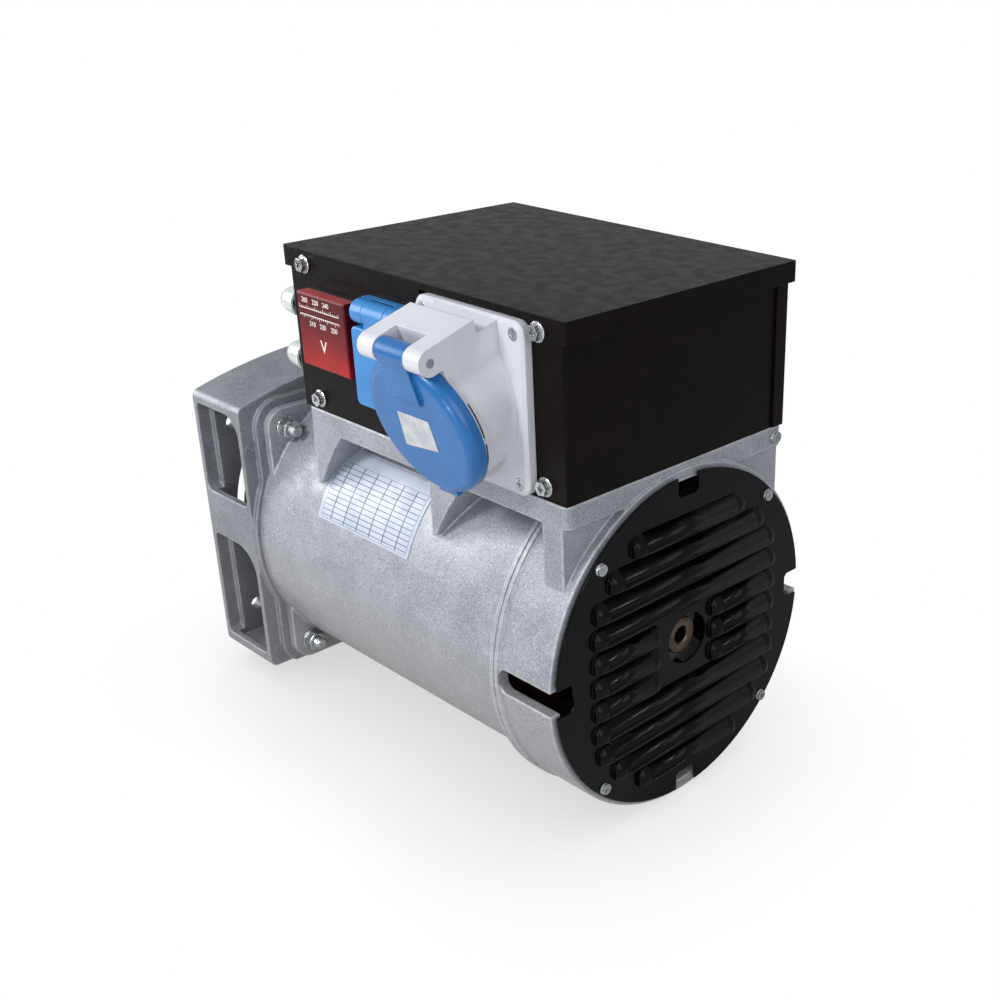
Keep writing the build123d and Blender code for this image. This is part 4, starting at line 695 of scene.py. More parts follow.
def lathe(name: str, profile: Sequence[Point2], steps: int = 48) -> bpy.types.Mesh:
    """Shape turned about Z.

    Args:
        name: Name of the mesh.
        profile: Radius and Z from one end to the other; a radius of 0 closes on the axis.
        steps: Pieces round the axis.

    Returns:
        The closed mesh.
    """
    vertices: list[Point3] = []
    rings: list[list[int]] = []
    for radius, z in profile:
        count = 1 if radius == 0 else steps
        rings.append(list(range(len(vertices), len(vertices) + count)))
        turns = (2 * math.pi * i / steps for i in range(count))
        vertices += [(radius * math.cos(a), radius * math.sin(a), z) for a in turns]
    faces = []
    for low, high in zip(rings, rings[1:] + ([] if len(rings[0]) == 1 else rings[:1])):
        for i in range(steps):
            near, far = i % len(low), (i + 1) % len(low)
            face = list(dict.fromkeys([low[near], low[far], high[(i + 1) % len(high)], high[i % len(high)]]))
            if len(face) > 2:
                faces.append(face)
    return cleaned(mesh_from(name, vertices, faces))


def joined(name: str, parts: Iterable[tuple[bpy.types.Mesh, Matrix]]) -> bpy.types.Mesh:
    """Several meshes as one, each in its place.

    Args:
        name: Name of the mesh.
        parts: Meshes with the matrix that places each.

    Returns:
        The joined mesh.
    """
    shape = bmesh.new()
    for mesh, place in parts:
        copy = mesh.copy()
        copy.transform(place)
        shape.from_mesh(copy)
        bpy.data.meshes.remove(copy)
    result = bpy.data.meshes.new(name)
    shape.to_mesh(result)
    shape.free()
    return result


def block(name: str, low: Point3, high: Point3, radius: float, segments: int = 3) -> bpy.types.Mesh:
    """Block with rounded edges.

    Args:
        name: Name of the mesh.
        low: Lowest corner.
        high: Highest corner.
        radius: Radius of the edges.
        segments: Pieces of the rounding.

    Returns:
        The mesh.
    """
    shape = bmesh.new()
    bmesh.ops.create_cube(shape, size=1.0)
    for vertex in shape.verts:
        vertex.co = Vector([(low[i] + (vertex.co[i] + 0.5) * (high[i] - low[i])) * MM for i in range(3)])
    bmesh.ops.bevel(shape, geom=shape.edges[:], offset=radius * MM, segments=segments, profile=0.5,
                    affect="EDGES")
    mesh = bpy.data.meshes.new(name)
    shape.to_mesh(mesh)
    shape.free()
    return mesh


def eased(mesh: bpy.types.Mesh, width: float, segments: int = 2, angle: float = 35.0) -> bpy.types.Mesh:
    """Mesh with its sharp edges rounded and its normals weighted to the large faces.

    Args:
        mesh: Closed mesh.
        width: Width of the rounding in millimetres, or 0 for normals alone.
        segments: Pieces of the rounding.
        angle: Angle in degrees past which an edge is sharp.

    Returns:
        A new mesh.
    """
    host = hosted(mesh.name, mesh)
    if width:
        bevel = host.modifiers.new("Edges", "BEVEL")
        bevel.width = width * MM
        bevel.segments = segments
        bevel.limit_method = "ANGLE"
        bevel.angle_limit = math.radians(angle)
        bevel.use_clamp_overlap = True
        bevel.miter_outer = "MITER_ARC"
    mesh.shade_smooth()
    if not width:
        mesh.set_sharp_from_angle(angle=math.radians(angle))
    weights = host.modifiers.new("Normals", "WEIGHTED_NORMAL")
    weights.keep_sharp = True
    weights.weight = 80
    result = applied(host)
    bpy.data.objects.remove(host)
    return result


def piece(name: str, mesh: bpy.types.Mesh, material: bpy.types.Material, body: Body,
          replaces: Sequence[str] = ()) -> bpy.types.Object:
    """Finished piece that rides on a body.

    Args:
        name: Name of the object.
        mesh: Its mesh, in place.
        material: Its material.
        body: Body that carries it.
        replaces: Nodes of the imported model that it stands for.

    Returns:
        The object.
    """
    mesh.name = name
    mesh.materials.clear()
    mesh.materials.append(material)
    obj = hosted(name, mesh)
    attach(obj, body.value)
    if replaces:
        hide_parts(*replaces)
    LOG.info("%s: %d faces on %s", name, len(mesh.polygons), body.value)
    return obj


def node_copy(node: str, flat: float = 0.6) -> bpy.types.Mesh:
    """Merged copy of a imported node's mesh."""
    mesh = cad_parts[node].data.copy()
    mesh.name = f"{node}_copy"
    return cleaned(mesh, flat)


def soften(paints: Paints, node: str, kind: str, slot: Slot, ease: tuple[float, int, float],
           body: Body = Body.STATOR) -> None:
    """Replaces a node by a copy with eased edges.

    Args:
        paints: Every material.
        node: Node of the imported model.
        kind: End of the new object's name.
        slot: Finish of the copy.
        ease: Width in millimetres, pieces and least angle of the rounding.
        body: Body that carries it.
    """
    piece(f"{node}_{kind}", eased(node_copy(node), *ease), paints[slot], body, [node])


def at(x: float, y: float, z: float) -> Matrix:
    """Matrix that moves by millimetres."""
    return Matrix.Translation((x * MM, y * MM, z * MM))


# --------------------------------------------------------------------------------------- repeated pieces
class Tree:
    """Geometry Nodes tree that ends by realizing its copies and setting their material."""

    def __init__(self, name: str, inputs: Sequence[tuple[str, str]]) -> None:
        """Starts the tree.

        Args:
            name: Name of the tree.
            inputs: Name and kind of each input; the first holds the points.
        """
        self.tree = bpy.data.node_groups.new(name, "GeometryNodeTree")
        face = self.tree.interface
        self.keys = {}
        for label, kind in inputs:
            socket = face.new_socket(label, in_out="INPUT", socket_type=f"NodeSocket{kind}")
            self.keys[label] = socket.identifier
        face.new_socket("Result", in_out="OUTPUT", socket_type="NodeSocketGeometry")
        self.link = self.tree.links.new
        self.source = self.add("NodeGroupInput").outputs

    def add(self, kind: str, **settings: Any) -> bpy.types.Node:
        """New node with its settings."""
        node = self.tree.nodes.new(kind)
        for name, value in settings.items():
            setattr(node, name, value)
        return node

    def named(self, name: str, kind: str) -> Socket:
        """Attribute of the points by its name and kind."""
        node = self.add("GeometryNodeInputNamedAttribute", data_type=kind)
        node.inputs["Name"].default_value = name
        return node.outputs["Attribute"]

    def product(self, first: Socket, second: Socket) -> Socket:
        """Product of two numbers."""
        node = self.add("ShaderNodeMath", operation="MULTIPLY")
        self.link(first, node.inputs[0])
        self.link(second, node.inputs[1])
        return node.outputs[0]

    def placed(self, points: str, shape: str) -> bpy.types.Node:
        """Node that sets an object on the points; both are named inputs."""
        info, place = self.add("GeometryNodeObjectInfo"), self.add("GeometryNodeInstanceOnPoints")
        self.link(self.source[shape], info.inputs["Object"])
        self.link(self.source[points], place.inputs["Points"])
        self.link(info.outputs["Geometry"], place.inputs["Instance"])
        return place

    def realized(self, place: bpy.types.Node) -> Socket:
        """Copies as plain geometry."""
        real = self.add("GeometryNodeRealizeInstances")
        self.link(place.outputs["Instances"], real.inputs["Geometry"])
        return real.outputs["Geometry"]

    def finish(self, geometry: Socket, material: bpy.types.Material) -> None:
        """Sets the material and ends the tree."""
        paint = self.add("GeometryNodeSetMaterial")
        paint.inputs["Material"].default_value = material
        self.link(geometry, paint.inputs["Geometry"])
        self.link(paint.outputs["Geometry"], self.add("NodeGroupOutput").inputs["Result"])

    def run(self, name: str, points: bpy.types.Mesh, shape: bpy.types.Mesh, **values: Any) -> bpy.types.Mesh:
        """Runs the tree on points and returns one plain mesh.

        Args:
            name: Name of the mesh.
            points: Mesh of the points.
            shape: Mesh of one copy.
            **values: Value of each further input, by its name.

        Returns:
            The mesh.
        """
        host, sample = hosted(f"{name}_host", points), hosted(f"{name}_sample", shape)
        modifier = host.modifiers.new("Copies", "NODES")
        modifier.node_group = self.tree
        modifier[self.keys["Shape"]] = sample
        for label, value in values.items():
            modifier[self.keys[label]] = value
        mesh = applied(host)
        host.modifiers.clear()
        bpy.data.objects.remove(host)
        bpy.data.objects.remove(sample)
        mesh.name = name
        return mesh


class Scatter(Tree):
    """Tree that sets copies of one shape on points and points each one its own way."""

    FACING = "facing"
    SEED = 7

    def __init__(self, name: str, material: bpy.types.Material) -> None:
        """Builds the tree.

        Args:
            name: Name of the tree.
            material: Material of the copies.
        """
        inputs = (("Points", "Geometry"), ("Shape", "Object"), ("Size", "Float"), ("Twist", "Float"))
        super().__init__(name, inputs)
        align = self.add("FunctionNodeAlignRotationToVector", axis="Z")
        self.link(self.named(self.FACING, "FLOAT_VECTOR"), align.inputs["Vector"])
        random = self.add("FunctionNodeRandomValue", data_type="FLOAT")
        random.inputs["Seed"].default_value = self.SEED
        spin = self.add("FunctionNodeAxisAngleToRotation")
        spin.inputs["Axis"].default_value = (0, 0, 1)
        self.link(self.product(random.outputs[1], self.source["Twist"]), spin.inputs["Angle"])
        rotate = self.add("FunctionNodeRotateRotation", rotation_space="LOCAL")
        self.link(align.outputs["Rotation"], rotate.inputs["Rotation"])
        self.link(spin.outputs["Rotation"], rotate.inputs["Rotate By"])
        place = self.placed("Points", "Shape")
        self.link(rotate.outputs["Rotation"], place.inputs["Rotation"])
        self.link(self.source["Size"], place.inputs["Scale"])
        self.finish(self.realized(place), material)

    def copies(self, name: str, shape: bpy.types.Mesh, places: Sequence[tuple[Point3, Point3]],
               size: float = 1.0, twist: float = 0.0) -> bpy.types.Mesh:
        """Sets the copies and returns them as one plain mesh.

        Args:
            name: Name of the mesh.
            shape: Mesh of one copy, which stands on the origin and points along +Z.
            places: Point in millimetres and direction of each copy.
            size: Scale of the copies.
            twist: Largest turn of a copy about its own axis, in radians.

        Returns:
            The mesh.
        """
        points = mesh_from(f"{name}_points", [point for point, _ in places], [])
        points.attributes.new(self.FACING, "FLOAT_VECTOR", "POINT")
        for row, (_, way) in zip(points.attributes[self.FACING].data, places):
            row.vector = way
        return self.run(name, points, shape, Size=size, Twist=twist)


@dataclass
class Fasteners:
    """Screws, nuts and washers."""

    paints: Paints
    cross_width: float = 1.3
    cross_length: float = 4.6
    hex_flats: float = 8.0
    hex_height: float = 4.6
    washer_radius: float = 5.8
    pan_sizes: tuple[tuple[str, float, float], ...] = (("rear_cover_screws", 4.0, 2.6),
                                                       ("earth_screw", 4.4, 3.0))
    sunk_radius: float = 3.7
    sunk_set: float = 1.9
    nut_flats: float = 13.0
    nut_height: float = 6.8
    nut_steps: int = 24
    stud_radius: float = 3.95
    ring_hole: float = 4.1
    ring_radius: float = 8.0
    twist: float = 1.5

    def cross(self, length: float, width: float) -> list[Point2]:
        """Outline of a cross recess."""
        a, b = length / 2, width / 2
        quarter = [(a, -b), (a, b), (b, b)]
        outline = []
        for turn in range(4):
            c, s = round(math.cos(turn * math.pi / 2)), round(math.sin(turn * math.pi / 2))
            outline += [(x * c - y * s, x * s + y * c) for x, y in quarter]
        return outline

    def hexagon(self, flats: float) -> list[Point2]:
        """Outline of a hexagon across its flats."""
        return circle(flats / 2 / math.cos(math.pi / 6), 6)

    def hex_washer_head(self) -> bpy.types.Mesh:
        """Hex head on a washer, with a cross recess."""
        rim = self.washer_radius
        washer = lathe("washer", [(0, 0), (rim, 0), (rim, 0.7), (rim - 0.6, 1.2), (0, 1.2)], 32)
        foot = eased(prism("foot", self.hexagon(self.hex_flats), 1.1, 2.9), 0)
        recess = self.cross(self.cross_length, self.cross_width)
        cap = eased(prism("cap", self.hexagon(self.hex_flats), 2.9, self.hex_height - 0.1, [recess]), 0.25)
        return joined("hex_washer_head", ((part, Matrix()) for part in (washer, foot, cap)))

    def pan_head(self, radius: float, height: float, cross: float) -> bpy.types.Mesh:
        """Low round head with a cross recess."""
        shoulder, brow = height * 0.35, height * 0.6
        base = lathe("pan", [(0, 0), (radius, 0), (radius, shoulder), (radius * 0.9, brow), (0, brow)], 28)
        top = prism("pan_top", circle(radius * 0.88, 28), brow, height, [self.cross(cross, cross * 0.28)])
        return joined("pan_head", ((part, Matrix()) for part in (base, eased(top, height * 0.22, 3))))

    def nut(self, flats: float, height: float) -> bpy.types.Mesh:
        """Hex nut with chamfered corners, left solid where its stud passes through."""
        corner, steps = flats / 2 / math.cos(math.pi / 6), self.nut_steps
        rows = ((0.0, flats * 0.49), (height * 0.08, corner), (height * 0.9, corner), (height, flats * 0.47))
        vertices: list[Point3] = []
        for z, reach in rows:
            for i in range(steps):
                angle = 2 * math.pi * i / steps
                off = (angle + math.pi / 6) % (math.pi / 3) - math.pi / 6
                radius = min(reach, flats / 2 / math.cos(off))
                vertices.append((radius * math.cos(angle), radius * math.sin(angle), z))
        faces = []
        for low in range(0, (len(rows) - 1) * steps, steps):
            for i in range(steps):
                after = (i + 1) % steps
                faces.append([low + i, low + after, low + steps + after, low + steps + i])
        faces += [list(range(steps - 1, -1, -1)), list(range(len(vertices) - steps, len(vertices)))]
        return eased(cleaned(mesh_from("nut", vertices, faces)), 0)

    def studs(self, radius: float, length: float) -> bpy.types.Mesh:
        """Threaded rod with rolled crests."""
        pitch = radius * 0.3
        profile: list[Point2] = [(0, 0)]
        turns = int(length / pitch)
        for i in range(turns):
            profile += [(radius * 0.87, i * pitch), (radius, (i + 0.5) * pitch)]
        profile += [(radius * 0.8, turns * pitch), (0, turns * pitch)]
        return lathe("stud", profile, 20)

    def solids(self, node: str) -> list[tuple[Vector, Point3, Point3]]:
        """Box of each separate solid of a node.

        Args:
            node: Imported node.

        Returns:
            Middle, lowest and highest corner of each in millimetres, in a fixed order.
        """
        shape = bmesh.new()
        shape.from_mesh(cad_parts[node].data)
        bmesh.ops.remove_doubles(shape, verts=shape.verts, dist=2e-6)
        left, found = set(shape.verts), []
        while left:
            stack, group = [left.pop()], []
            while stack:
                vertex = stack.pop()
                group.append(vertex.co.copy())
                for edge in vertex.link_edges:
                    other = edge.other_vert(vertex)
                    if other in left:
                        left.remove(other)
                        stack.append(other)
            found.append(tuple(Vector([end(c[i] for c in group) for i in range(3)]) for end in (min, max)))
        shape.free()
        found.sort(key=lambda pair: tuple(round(c, 4) for c in pair[0]))
        return [((low + high) / 2 / MM, tuple(c / MM for c in low), tuple(c / MM for c in high))
                for low, high in found]

    def dress(self, name: str, node: str, scatter: Scatter, shape: bpy.types.Mesh,
              places: Sequence[tuple[Point3, Point3]], twist: float) -> None:
        """Sets copies of a shape and lets them stand for a node.

        Args:
            name: Name of the object.
            node: Node that the copies stand for.
            scatter: Tree that sets the copies.
            shape: Mesh of one copy.
            places: Point in millimetres and direction of each copy.
            twist: Largest turn of a copy about its own axis, in radians.
        """
        mesh = scatter.copies(name, shape, places, 1.0, twist)
        piece(name, mesh, self.paints[Slot.ZINC_STEEL], Body.STATOR, [node])

    def panel_screws(self, scatter: Scatter) -> None:
        """Front and back screws of the terminal box."""
        for node, way in (("front_panel_screws", -1), ("back_panel_screws", 1)):
            places = []
            for middle, low, high in self.solids(node):
                end = low[1] if way < 0 else high[1]
                places.append(((middle.x, end - way * self.hex_height, middle.z), (0, way, 0)))
            self.dress(f"box_{node}", node, scatter, self.hex_washer_head(), places, 1.4)

    def cover_screws(self, scatter: Scatter) -> None:
        """Small screws of the louvred cover and the earth."""
        for node, radius, height in self.pan_sizes:
            places = [((high[0] - height, middle.y, middle.z), (1, 0, 0))
                      for middle, _, high in self.solids(node)]
            shape = self.pan_head(radius, height, radius * 1.15)
            self.dress(f"dressed_{node}", node, scatter, shape, places, self.twist)

    def flange_screws(self, scatter: Scatter) -> None:
        """Countersunk screws of the large socket's flange."""
        places = []
        for middle, low, _ in self.solids("industrial_flange_screws"):
            places.append(((middle.x, low[1] + self.sunk_set, middle.z), (0, -1, 0)))
        rim = self.sunk_radius
        base = lathe("sunk", [(0, -1), (2.0, -1), (rim, 0.6), (rim, 0.9), (0, 0.9)], 28)
        cap = eased(prism("sunk_top", circle(3.6, 28), 0.9, 1.8, [self.cross(4.2, 1.1)]), 0.2, 2)
        shape = joined("sunk_head", ((part, Matrix()) for part in (base, cap)))
        self.dress("socket_flange_screws", "industrial_flange_screws", scatter, shape, places, self.twist)

    def lug_nuts(self, scatter: Scatter) -> None:
        """Nuts, washers and studs of the housing lugs."""
        _, low, high = self.solids("adaptor_studs")[0]
        hole, rim = self.ring_hole, self.ring_radius
        ring = lathe("ring", [(hole, 0), (rim, 0), (rim, 1.2), (rim - 0.4, 1.6), (hole, 1.6)], 32)
        for kind, shape, twist in (("nuts", self.nut(self.nut_flats, self.nut_height), 1.0),
                                   ("washers", ring, 0.0),
                                   ("studs", self.studs(self.stud_radius, high[0] - low[0]), 0.0)):
            places = [((first[0], middle.y, middle.z), (1, 0, 0))
                      for middle, first, _ in self.solids(f"adaptor_{kind}")]
            self.dress(f"lug_{kind}", f"adaptor_{kind}", scatter, shape, places, twist)

    def build(self) -> None:
        """Sets every fastener."""
        scatter = Scatter("Fasteners on points", self.paints[Slot.ZINC_STEEL])
        self.panel_screws(scatter)
        self.cover_screws(scatter)
        self.flange_screws(scatter)
        self.lug_nuts(scatter)


# -------------------------------------------------------------------------------------------- castings
@dataclass
class Castings:
    """Adaptor, housing and bearing bracket with eased edges, and the marks cast on them."""

    paints: Paints
    ease: float = 0.9
    bracket_ease: float = 0.5
    face_x: float = 59.9
    dials: tuple[Point2, ...] = ((-102.0, 70.0), (-100.5, -90.5))
    dial_rise: float = 0.5
    dial_rims: tuple[tuple[str, float, float, int], ...] = (("rim", 7.0, 6.2, 40), ("hub", 2.6, 1.8, 24))
    dot_radius: float = 0.75
    dots_radius: float = 4.4

    def date_marks(self) -> None:
        """Two raised date dials on the adaptor's face."""
        dial = []
        for name, outer, inner, steps in self.dial_rims:
            rim = prism(name, circle(outer, steps), 0, self.dial_rise, [circle(inner, steps)])
            dial.append((rim, Matrix()))
        dot = prism("dot", circle(self.dot_radius, 10), 0, self.dial_rise)
        dial += [(dot, at(*point, 0)) for point in circle(self.dots_radius, 12)]
        shape = joined("dial", dial)
        places = [(shape, at(self.face_x, y, z) @ FACE_X) for y, z in self.dials]
        mesh = joined("date_dials", places)
        piece("date_dials", mesh, self.paints[Slot.CAST_DARK], Body.STATOR)

    def build(self) -> None:
        """Makes the castings."""
        for node, slot, width in (("engine_adaptor", Slot.CAST_DARK, self.ease),
                                  ("main_housing", Slot.CAST_ALUMINIUM, self.ease),
                                  ("rear_bearing_bracket", Slot.CAST_ALUMINIUM, self.bracket_ease)):
            soften(self.paints, node, "skin", slot, (width, 2, 32.0))
        self.date_marks()


@dataclass
class RatingPlate:
    """Bare silver plate on the housing's round."""

    paints: Paints
    low_x: float = 130.0
    high_x: float = 228.0
    low_angle: float = 22.0
    high_angle: float = 50.0
    radius: float = 108.0
    thick: float = 0.35
    across: int = 12
    around: int = 16

    def build(self) -> None:
        """Makes the bent plate with its UV map."""
        vertices: list[Point3] = []
        for layer in (self.radius + 0.05, self.radius + self.thick):
            for j in range(self.around + 1):
                angle = math.radians(self.low_angle + (self.high_angle - self.low_angle) * j / self.around)
                for i in range(self.across + 1):
                    x = self.low_x + (self.high_x - self.low_x) * i / self.across
                    vertices.append((x, -layer * math.cos(angle), layer * math.sin(angle)))
        row, layer = self.across + 1, (self.across + 1) * (self.around + 1)
        faces = []
        for j in range(self.around):
            for i in range(self.across):
                a = j * row + i
                faces.append([layer + a, layer + a + 1, layer + a + row + 1, layer + a + row])
                faces.append([a + row, a + row + 1, a + 1, a])
        border = list(range(row)) + [j * row + self.across for j in range(1, self.around + 1)]
        border += [self.around * row + i for i in range(self.across - 1, -1, -1)]
        border += [j * row for j in range(self.around - 1, 0, -1)]
        for a, b in zip(border, border[1:] + border[:1]):
            faces.append([a, b, layer + b, layer + a])
        mesh = mesh_from("rating_plate", vertices, faces)
        uv = mesh.uv_layers.new(name="UVMap")
        for loop in mesh.loops:
            index = loop.vertex_index % layer
            uv.data[loop.index].uv = ((index % row) / self.across, (index // row) / self.around)
        mesh.shade_smooth()
        mesh.set_sharp_from_angle(angle=math.radians(40))
        piece("rating_plate", mesh, self.paints.plate, Body.STATOR)


# ------------------------------------------------------------------------------------------- rear cover
@dataclass
class RearCover:
    """Gloss black disc with rows of pressed hoods."""

    paints: Paints
    face_x: float = 375.0
    radius: float = 110.0
    hole: float = 17.0
    notch_half: float = 9.0
    notch_floor: float = 97.0
    rows: int = 11
    pitch: float = 16.0
    top_z: float = 79.0
    height: float = 13.2
    proud: float = 5.9
    field: float = 93.0
    reach: float = 82.0
    split_left: float = -26.0
    split_right: float = 20.0
    sheet: float = 1.4
    end_swell: float = 1.1
    sink: float = 0.2
    screw_place: float = 74.25
    screw_hole: float = 2.3

    def outline(self) -> list[Point2]:
        """Edge of the disc with its four notches, in Y and Z."""
        points: list[Point2] = []
        start = math.degrees(math.asin(self.notch_half / self.radius))
        for quarter in range(4):
            turn = 90.0 * quarter
            for i in range(25):
                angle = math.radians(turn + start + (90 - 2 * start) * i / 24)
                points.append((self.radius * math.cos(angle), self.radius * math.sin(angle)))
            base = math.radians(turn + 90)
            c, s = math.cos(base), math.sin(base)
            for out, side in ((self.notch_floor + 2, -1), (self.notch_floor, -0.75), (self.notch_floor, 0.75),
                              (self.notch_floor + 2, 1)):
                y = side * self.notch_half
                points.append((out * c - y * s, out * s + y * c))
        return points

    def runs(self) -> list[tuple[float, float, float]]:
        """Both ends and the height of each hood."""
        found = []
        for row in range(self.rows):
            z = self.top_z - row * self.pitch
            end = min(self.reach, math.sqrt(self.field ** 2 - z ** 2))
            if abs(z) <= self.pitch + 2:
                found += [(-end, self.split_left, z), (self.split_right, end, z)]
            else:
                found.append((-end, end, z))
        return found

    def hood(self) -> bpy.types.Mesh:
        """Both round ends of one hood, with nothing between them; a side of -1 or 1 marks each half."""
        arc, fan = 10, 12
        vertices: list[Point3] = []
        sides: list[float] = []
        half = self.height / 2
        for side in (-1.0, 1.0):
            for k in range(fan + 1):
                spread = math.pi / 2 * k / fan
                for i in range(arc + 1):
                    t = i / arc
                    z = half - self.height * 1.02 * t
                    crown = math.sin(math.pi * min(t, 0.62) / 1.24) ** 0.9
                    fall = 1.0 if t < 0.86 else 1.0 - ((t - 0.86) / 0.14) ** 2 * 0.25
                    width = math.sqrt(max(0.0, 1 - (2 * t - 1) ** 2)) if t < 0.5 else 1.0
                    y = side * half * self.end_swell * width * math.sin(spread)
                    lift = self.proud * crown * fall * math.cos(spread) ** 0.55
                    vertices.append((lift, y, z))
                    sides.append(side)
        block_size = (fan + 1) * (arc + 1)
        faces = []
        for part in range(2):
            for k in range(fan):
                for i in range(arc):
                    a = part * block_size + k * (arc + 1) + i
                    quad = [a, a + arc + 1, a + arc + 2, a + 1]
                    faces.append(quad[::-1] if part else quad)
        for i in range(arc):
            faces.append([i, block_size + i, block_size + i + 1, i + 1])
        mesh = mesh_from("hood", vertices, faces)
        mesh.attributes.new("side", "FLOAT", "POINT")
        for row, value in zip(mesh.attributes["side"].data, sides):
            row.value = value
        return mesh

    def tree(self) -> Tree:
        """Tree that sets a hood on each row and pulls its ends apart."""
        tree = Tree("Louvre rows", (("Rows", "Geometry"), ("Shape", "Object"), ("Lift", "Float")))
        geometry = tree.realized(tree.placed("Rows", "Shape"))
        offset, move = tree.add("ShaderNodeCombineXYZ"), tree.add("GeometryNodeSetPosition")
        stretch = tree.product(tree.named("side", "FLOAT"), tree.named("half_run", "FLOAT"))
        tree.link(tree.source["Lift"], offset.inputs["X"])
        tree.link(stretch, offset.inputs["Y"])
        tree.link(geometry, move.inputs["Geometry"])
        tree.link(offset.outputs[0], move.inputs["Offset"])
        tree.finish(move.outputs["Geometry"], self.paints[Slot.COVER_BLACK])
        return tree

    def hoods(self) -> bpy.types.Mesh:
        """All hoods as one thin closed mesh."""
        runs = self.runs()
        rows = mesh_from("rows", [(self.face_x, (a + b) / 2, z) for a, b, z in runs], [])
        rows.attributes.new("half_run", "FLOAT", "POINT")
        for row, (a, b, _) in zip(rows.attributes["half_run"].data, runs):
            row.value = ((b - a) / 2 - self.height / 2 * self.end_swell) * MM
        mesh = self.tree().run("louvre_rows", rows, self.hood(), Lift=-self.sink * MM)
        shell = hosted("hoods", mesh)
        wall = shell.modifiers.new("Sheet", "SOLIDIFY")
        wall.thickness = self.sheet * MM
        wall.offset = -1.0
        mesh.shade_smooth()
        result = cleaned(applied(shell))
        bpy.data.objects.remove(shell)
        result.shade_smooth()
        result.set_sharp_from_angle(angle=math.radians(50))
        return result

    def build(self) -> None:
        """Makes the disc and its hoods."""
        slots = []
        for a, b, z in self.runs():
            slots.append(rounded_rect(b - a - 8, 4.4, 2.1, ((a + b) / 2, z - 3.6)))
        signs = ((-1, -1), (-1, 1), (1, -1), (1, 1))
        screws = [circle(self.screw_hole, 16, (y * self.screw_place, z * self.screw_place)) for y, z in signs]
        disc = prism("disc", self.outline(), 0.0, self.sheet, [circle(self.hole, 48), *screws, *slots])
        disc = eased(disc, 0.45, 2, 40)
        disc.transform(at(self.face_x - self.sheet, 0, 0) @ FACE_X)
        shape = joined("rear_cover_pressing", [(disc, Matrix()), (self.hoods(), Matrix())])
        piece("rear_cover_pressing", shape, self.paints[Slot.COVER_BLACK], Body.STATOR,
              ["rear_cover"])


# --------------------------------------------------------------------------------------- terminal box
@dataclass
class TerminalBox:
    """Folded sheets of the box."""

    paints: Paints
    ease: tuple[float, int, float] = (0.45, 2, 40.0)

    def build(self) -> None:
        """Eases the folded sheets."""
        for node in ("box_lid", "box_frame", "box_front_panel", "box_back_panel"):
            soften(self.paints, node, "sheet", Slot.BOX_BLACK, self.ease)


@dataclass
class Voltmeter:
    """Red meter with its white double scale."""

    paints: Paints
    upper: tuple[str, ...] = ("200", "220", "240")
    lower: tuple[str, ...] = ("210", "230", "250")
    letter: float = 4.4
    unit: float = 11.0
    lift: float = 0.12
    sunk: float = 0.02
    rule_half: float = 0.22
    tick_half: float = 0.16
    stroke_edge: float = 0.03
    long_tick: float = 2.1
    short_tick: float = 1.2
    steps: int = 20

    def word(self, text: str, x: float, y: float, z: float, size: float) -> bpy.types.Mesh:
        """Raised figures that face -Y.

        Args:
            text: What to write.
            x: Middle in X.
            y: Face that carries them.
            z: Middle in Z.
            size: Height of the letters' body.

        Returns:
            The mesh.
        """
        curve = bpy.data.curves.new(text, "FONT")
        curve.body = text
        curve.size = size * MM
        curve.align_x, curve.align_y = "CENTER", "CENTER"
        curve.extrude = self.lift / 2 * MM
        curve.resolution_u = 3
        host = hosted(text, curve)
        mesh = applied(host)
        bpy.data.objects.remove(host)
        mesh.transform(at(x, y - self.lift / 2, z) @ Matrix.Rotation(math.pi / 2, 4, "X"))
        return mesh

    def build(self) -> None:
        """Makes the scale."""
        low, high = (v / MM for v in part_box("voltmeter_window"))
        wide, tall, y = high.x - low.x, high.z - low.z, low.y
        parts = []
        left, right = low.x + wide * 0.05, low.x + wide * 0.88
        line_z = (low.z + tall * 0.80, low.z + tall * 0.71)
        for z in line_z:
            parts.append(block("rule", (left, y - self.lift, z - self.rule_half),
                               (right, y + self.sunk, z + self.rule_half), self.stroke_edge, 1))
        for row, (z, way) in enumerate(zip(line_z, (1, -1))):
            for i in range(self.steps + 1):
                long = (i + 2 * row) % 4 == 0
                x = left + (right - left) * i / self.steps
                tip = z + way * (self.long_tick if long else self.short_tick)
                low_end, high_end = min(z, tip), max(z, tip)
                parts.append(block("tick", (x - self.tick_half, y - self.lift, low_end),
                                   (x + self.tick_half, y + self.sunk, high_end), self.stroke_edge, 1))
        shape = [(part, Matrix()) for part in parts]
        for words, z, places in ((self.upper, low.z + tall * 0.905, (0.17, 0.40, 0.62)),
                                 (self.lower, low.z + tall * 0.60, (0.30, 0.52, 0.76))):
            for word, share in zip(words, places):
                shape.append((self.word(word, low.x + wide * share, y, z, self.letter), Matrix()))
        shape.append((self.word("V", low.x + wide * 0.5, y, low.z + tall * 0.32, self.unit), Matrix()))
        mesh = joined("voltmeter_scale", shape)
        piece("voltmeter_scale", mesh, self.paints.ink, Body.STATOR)


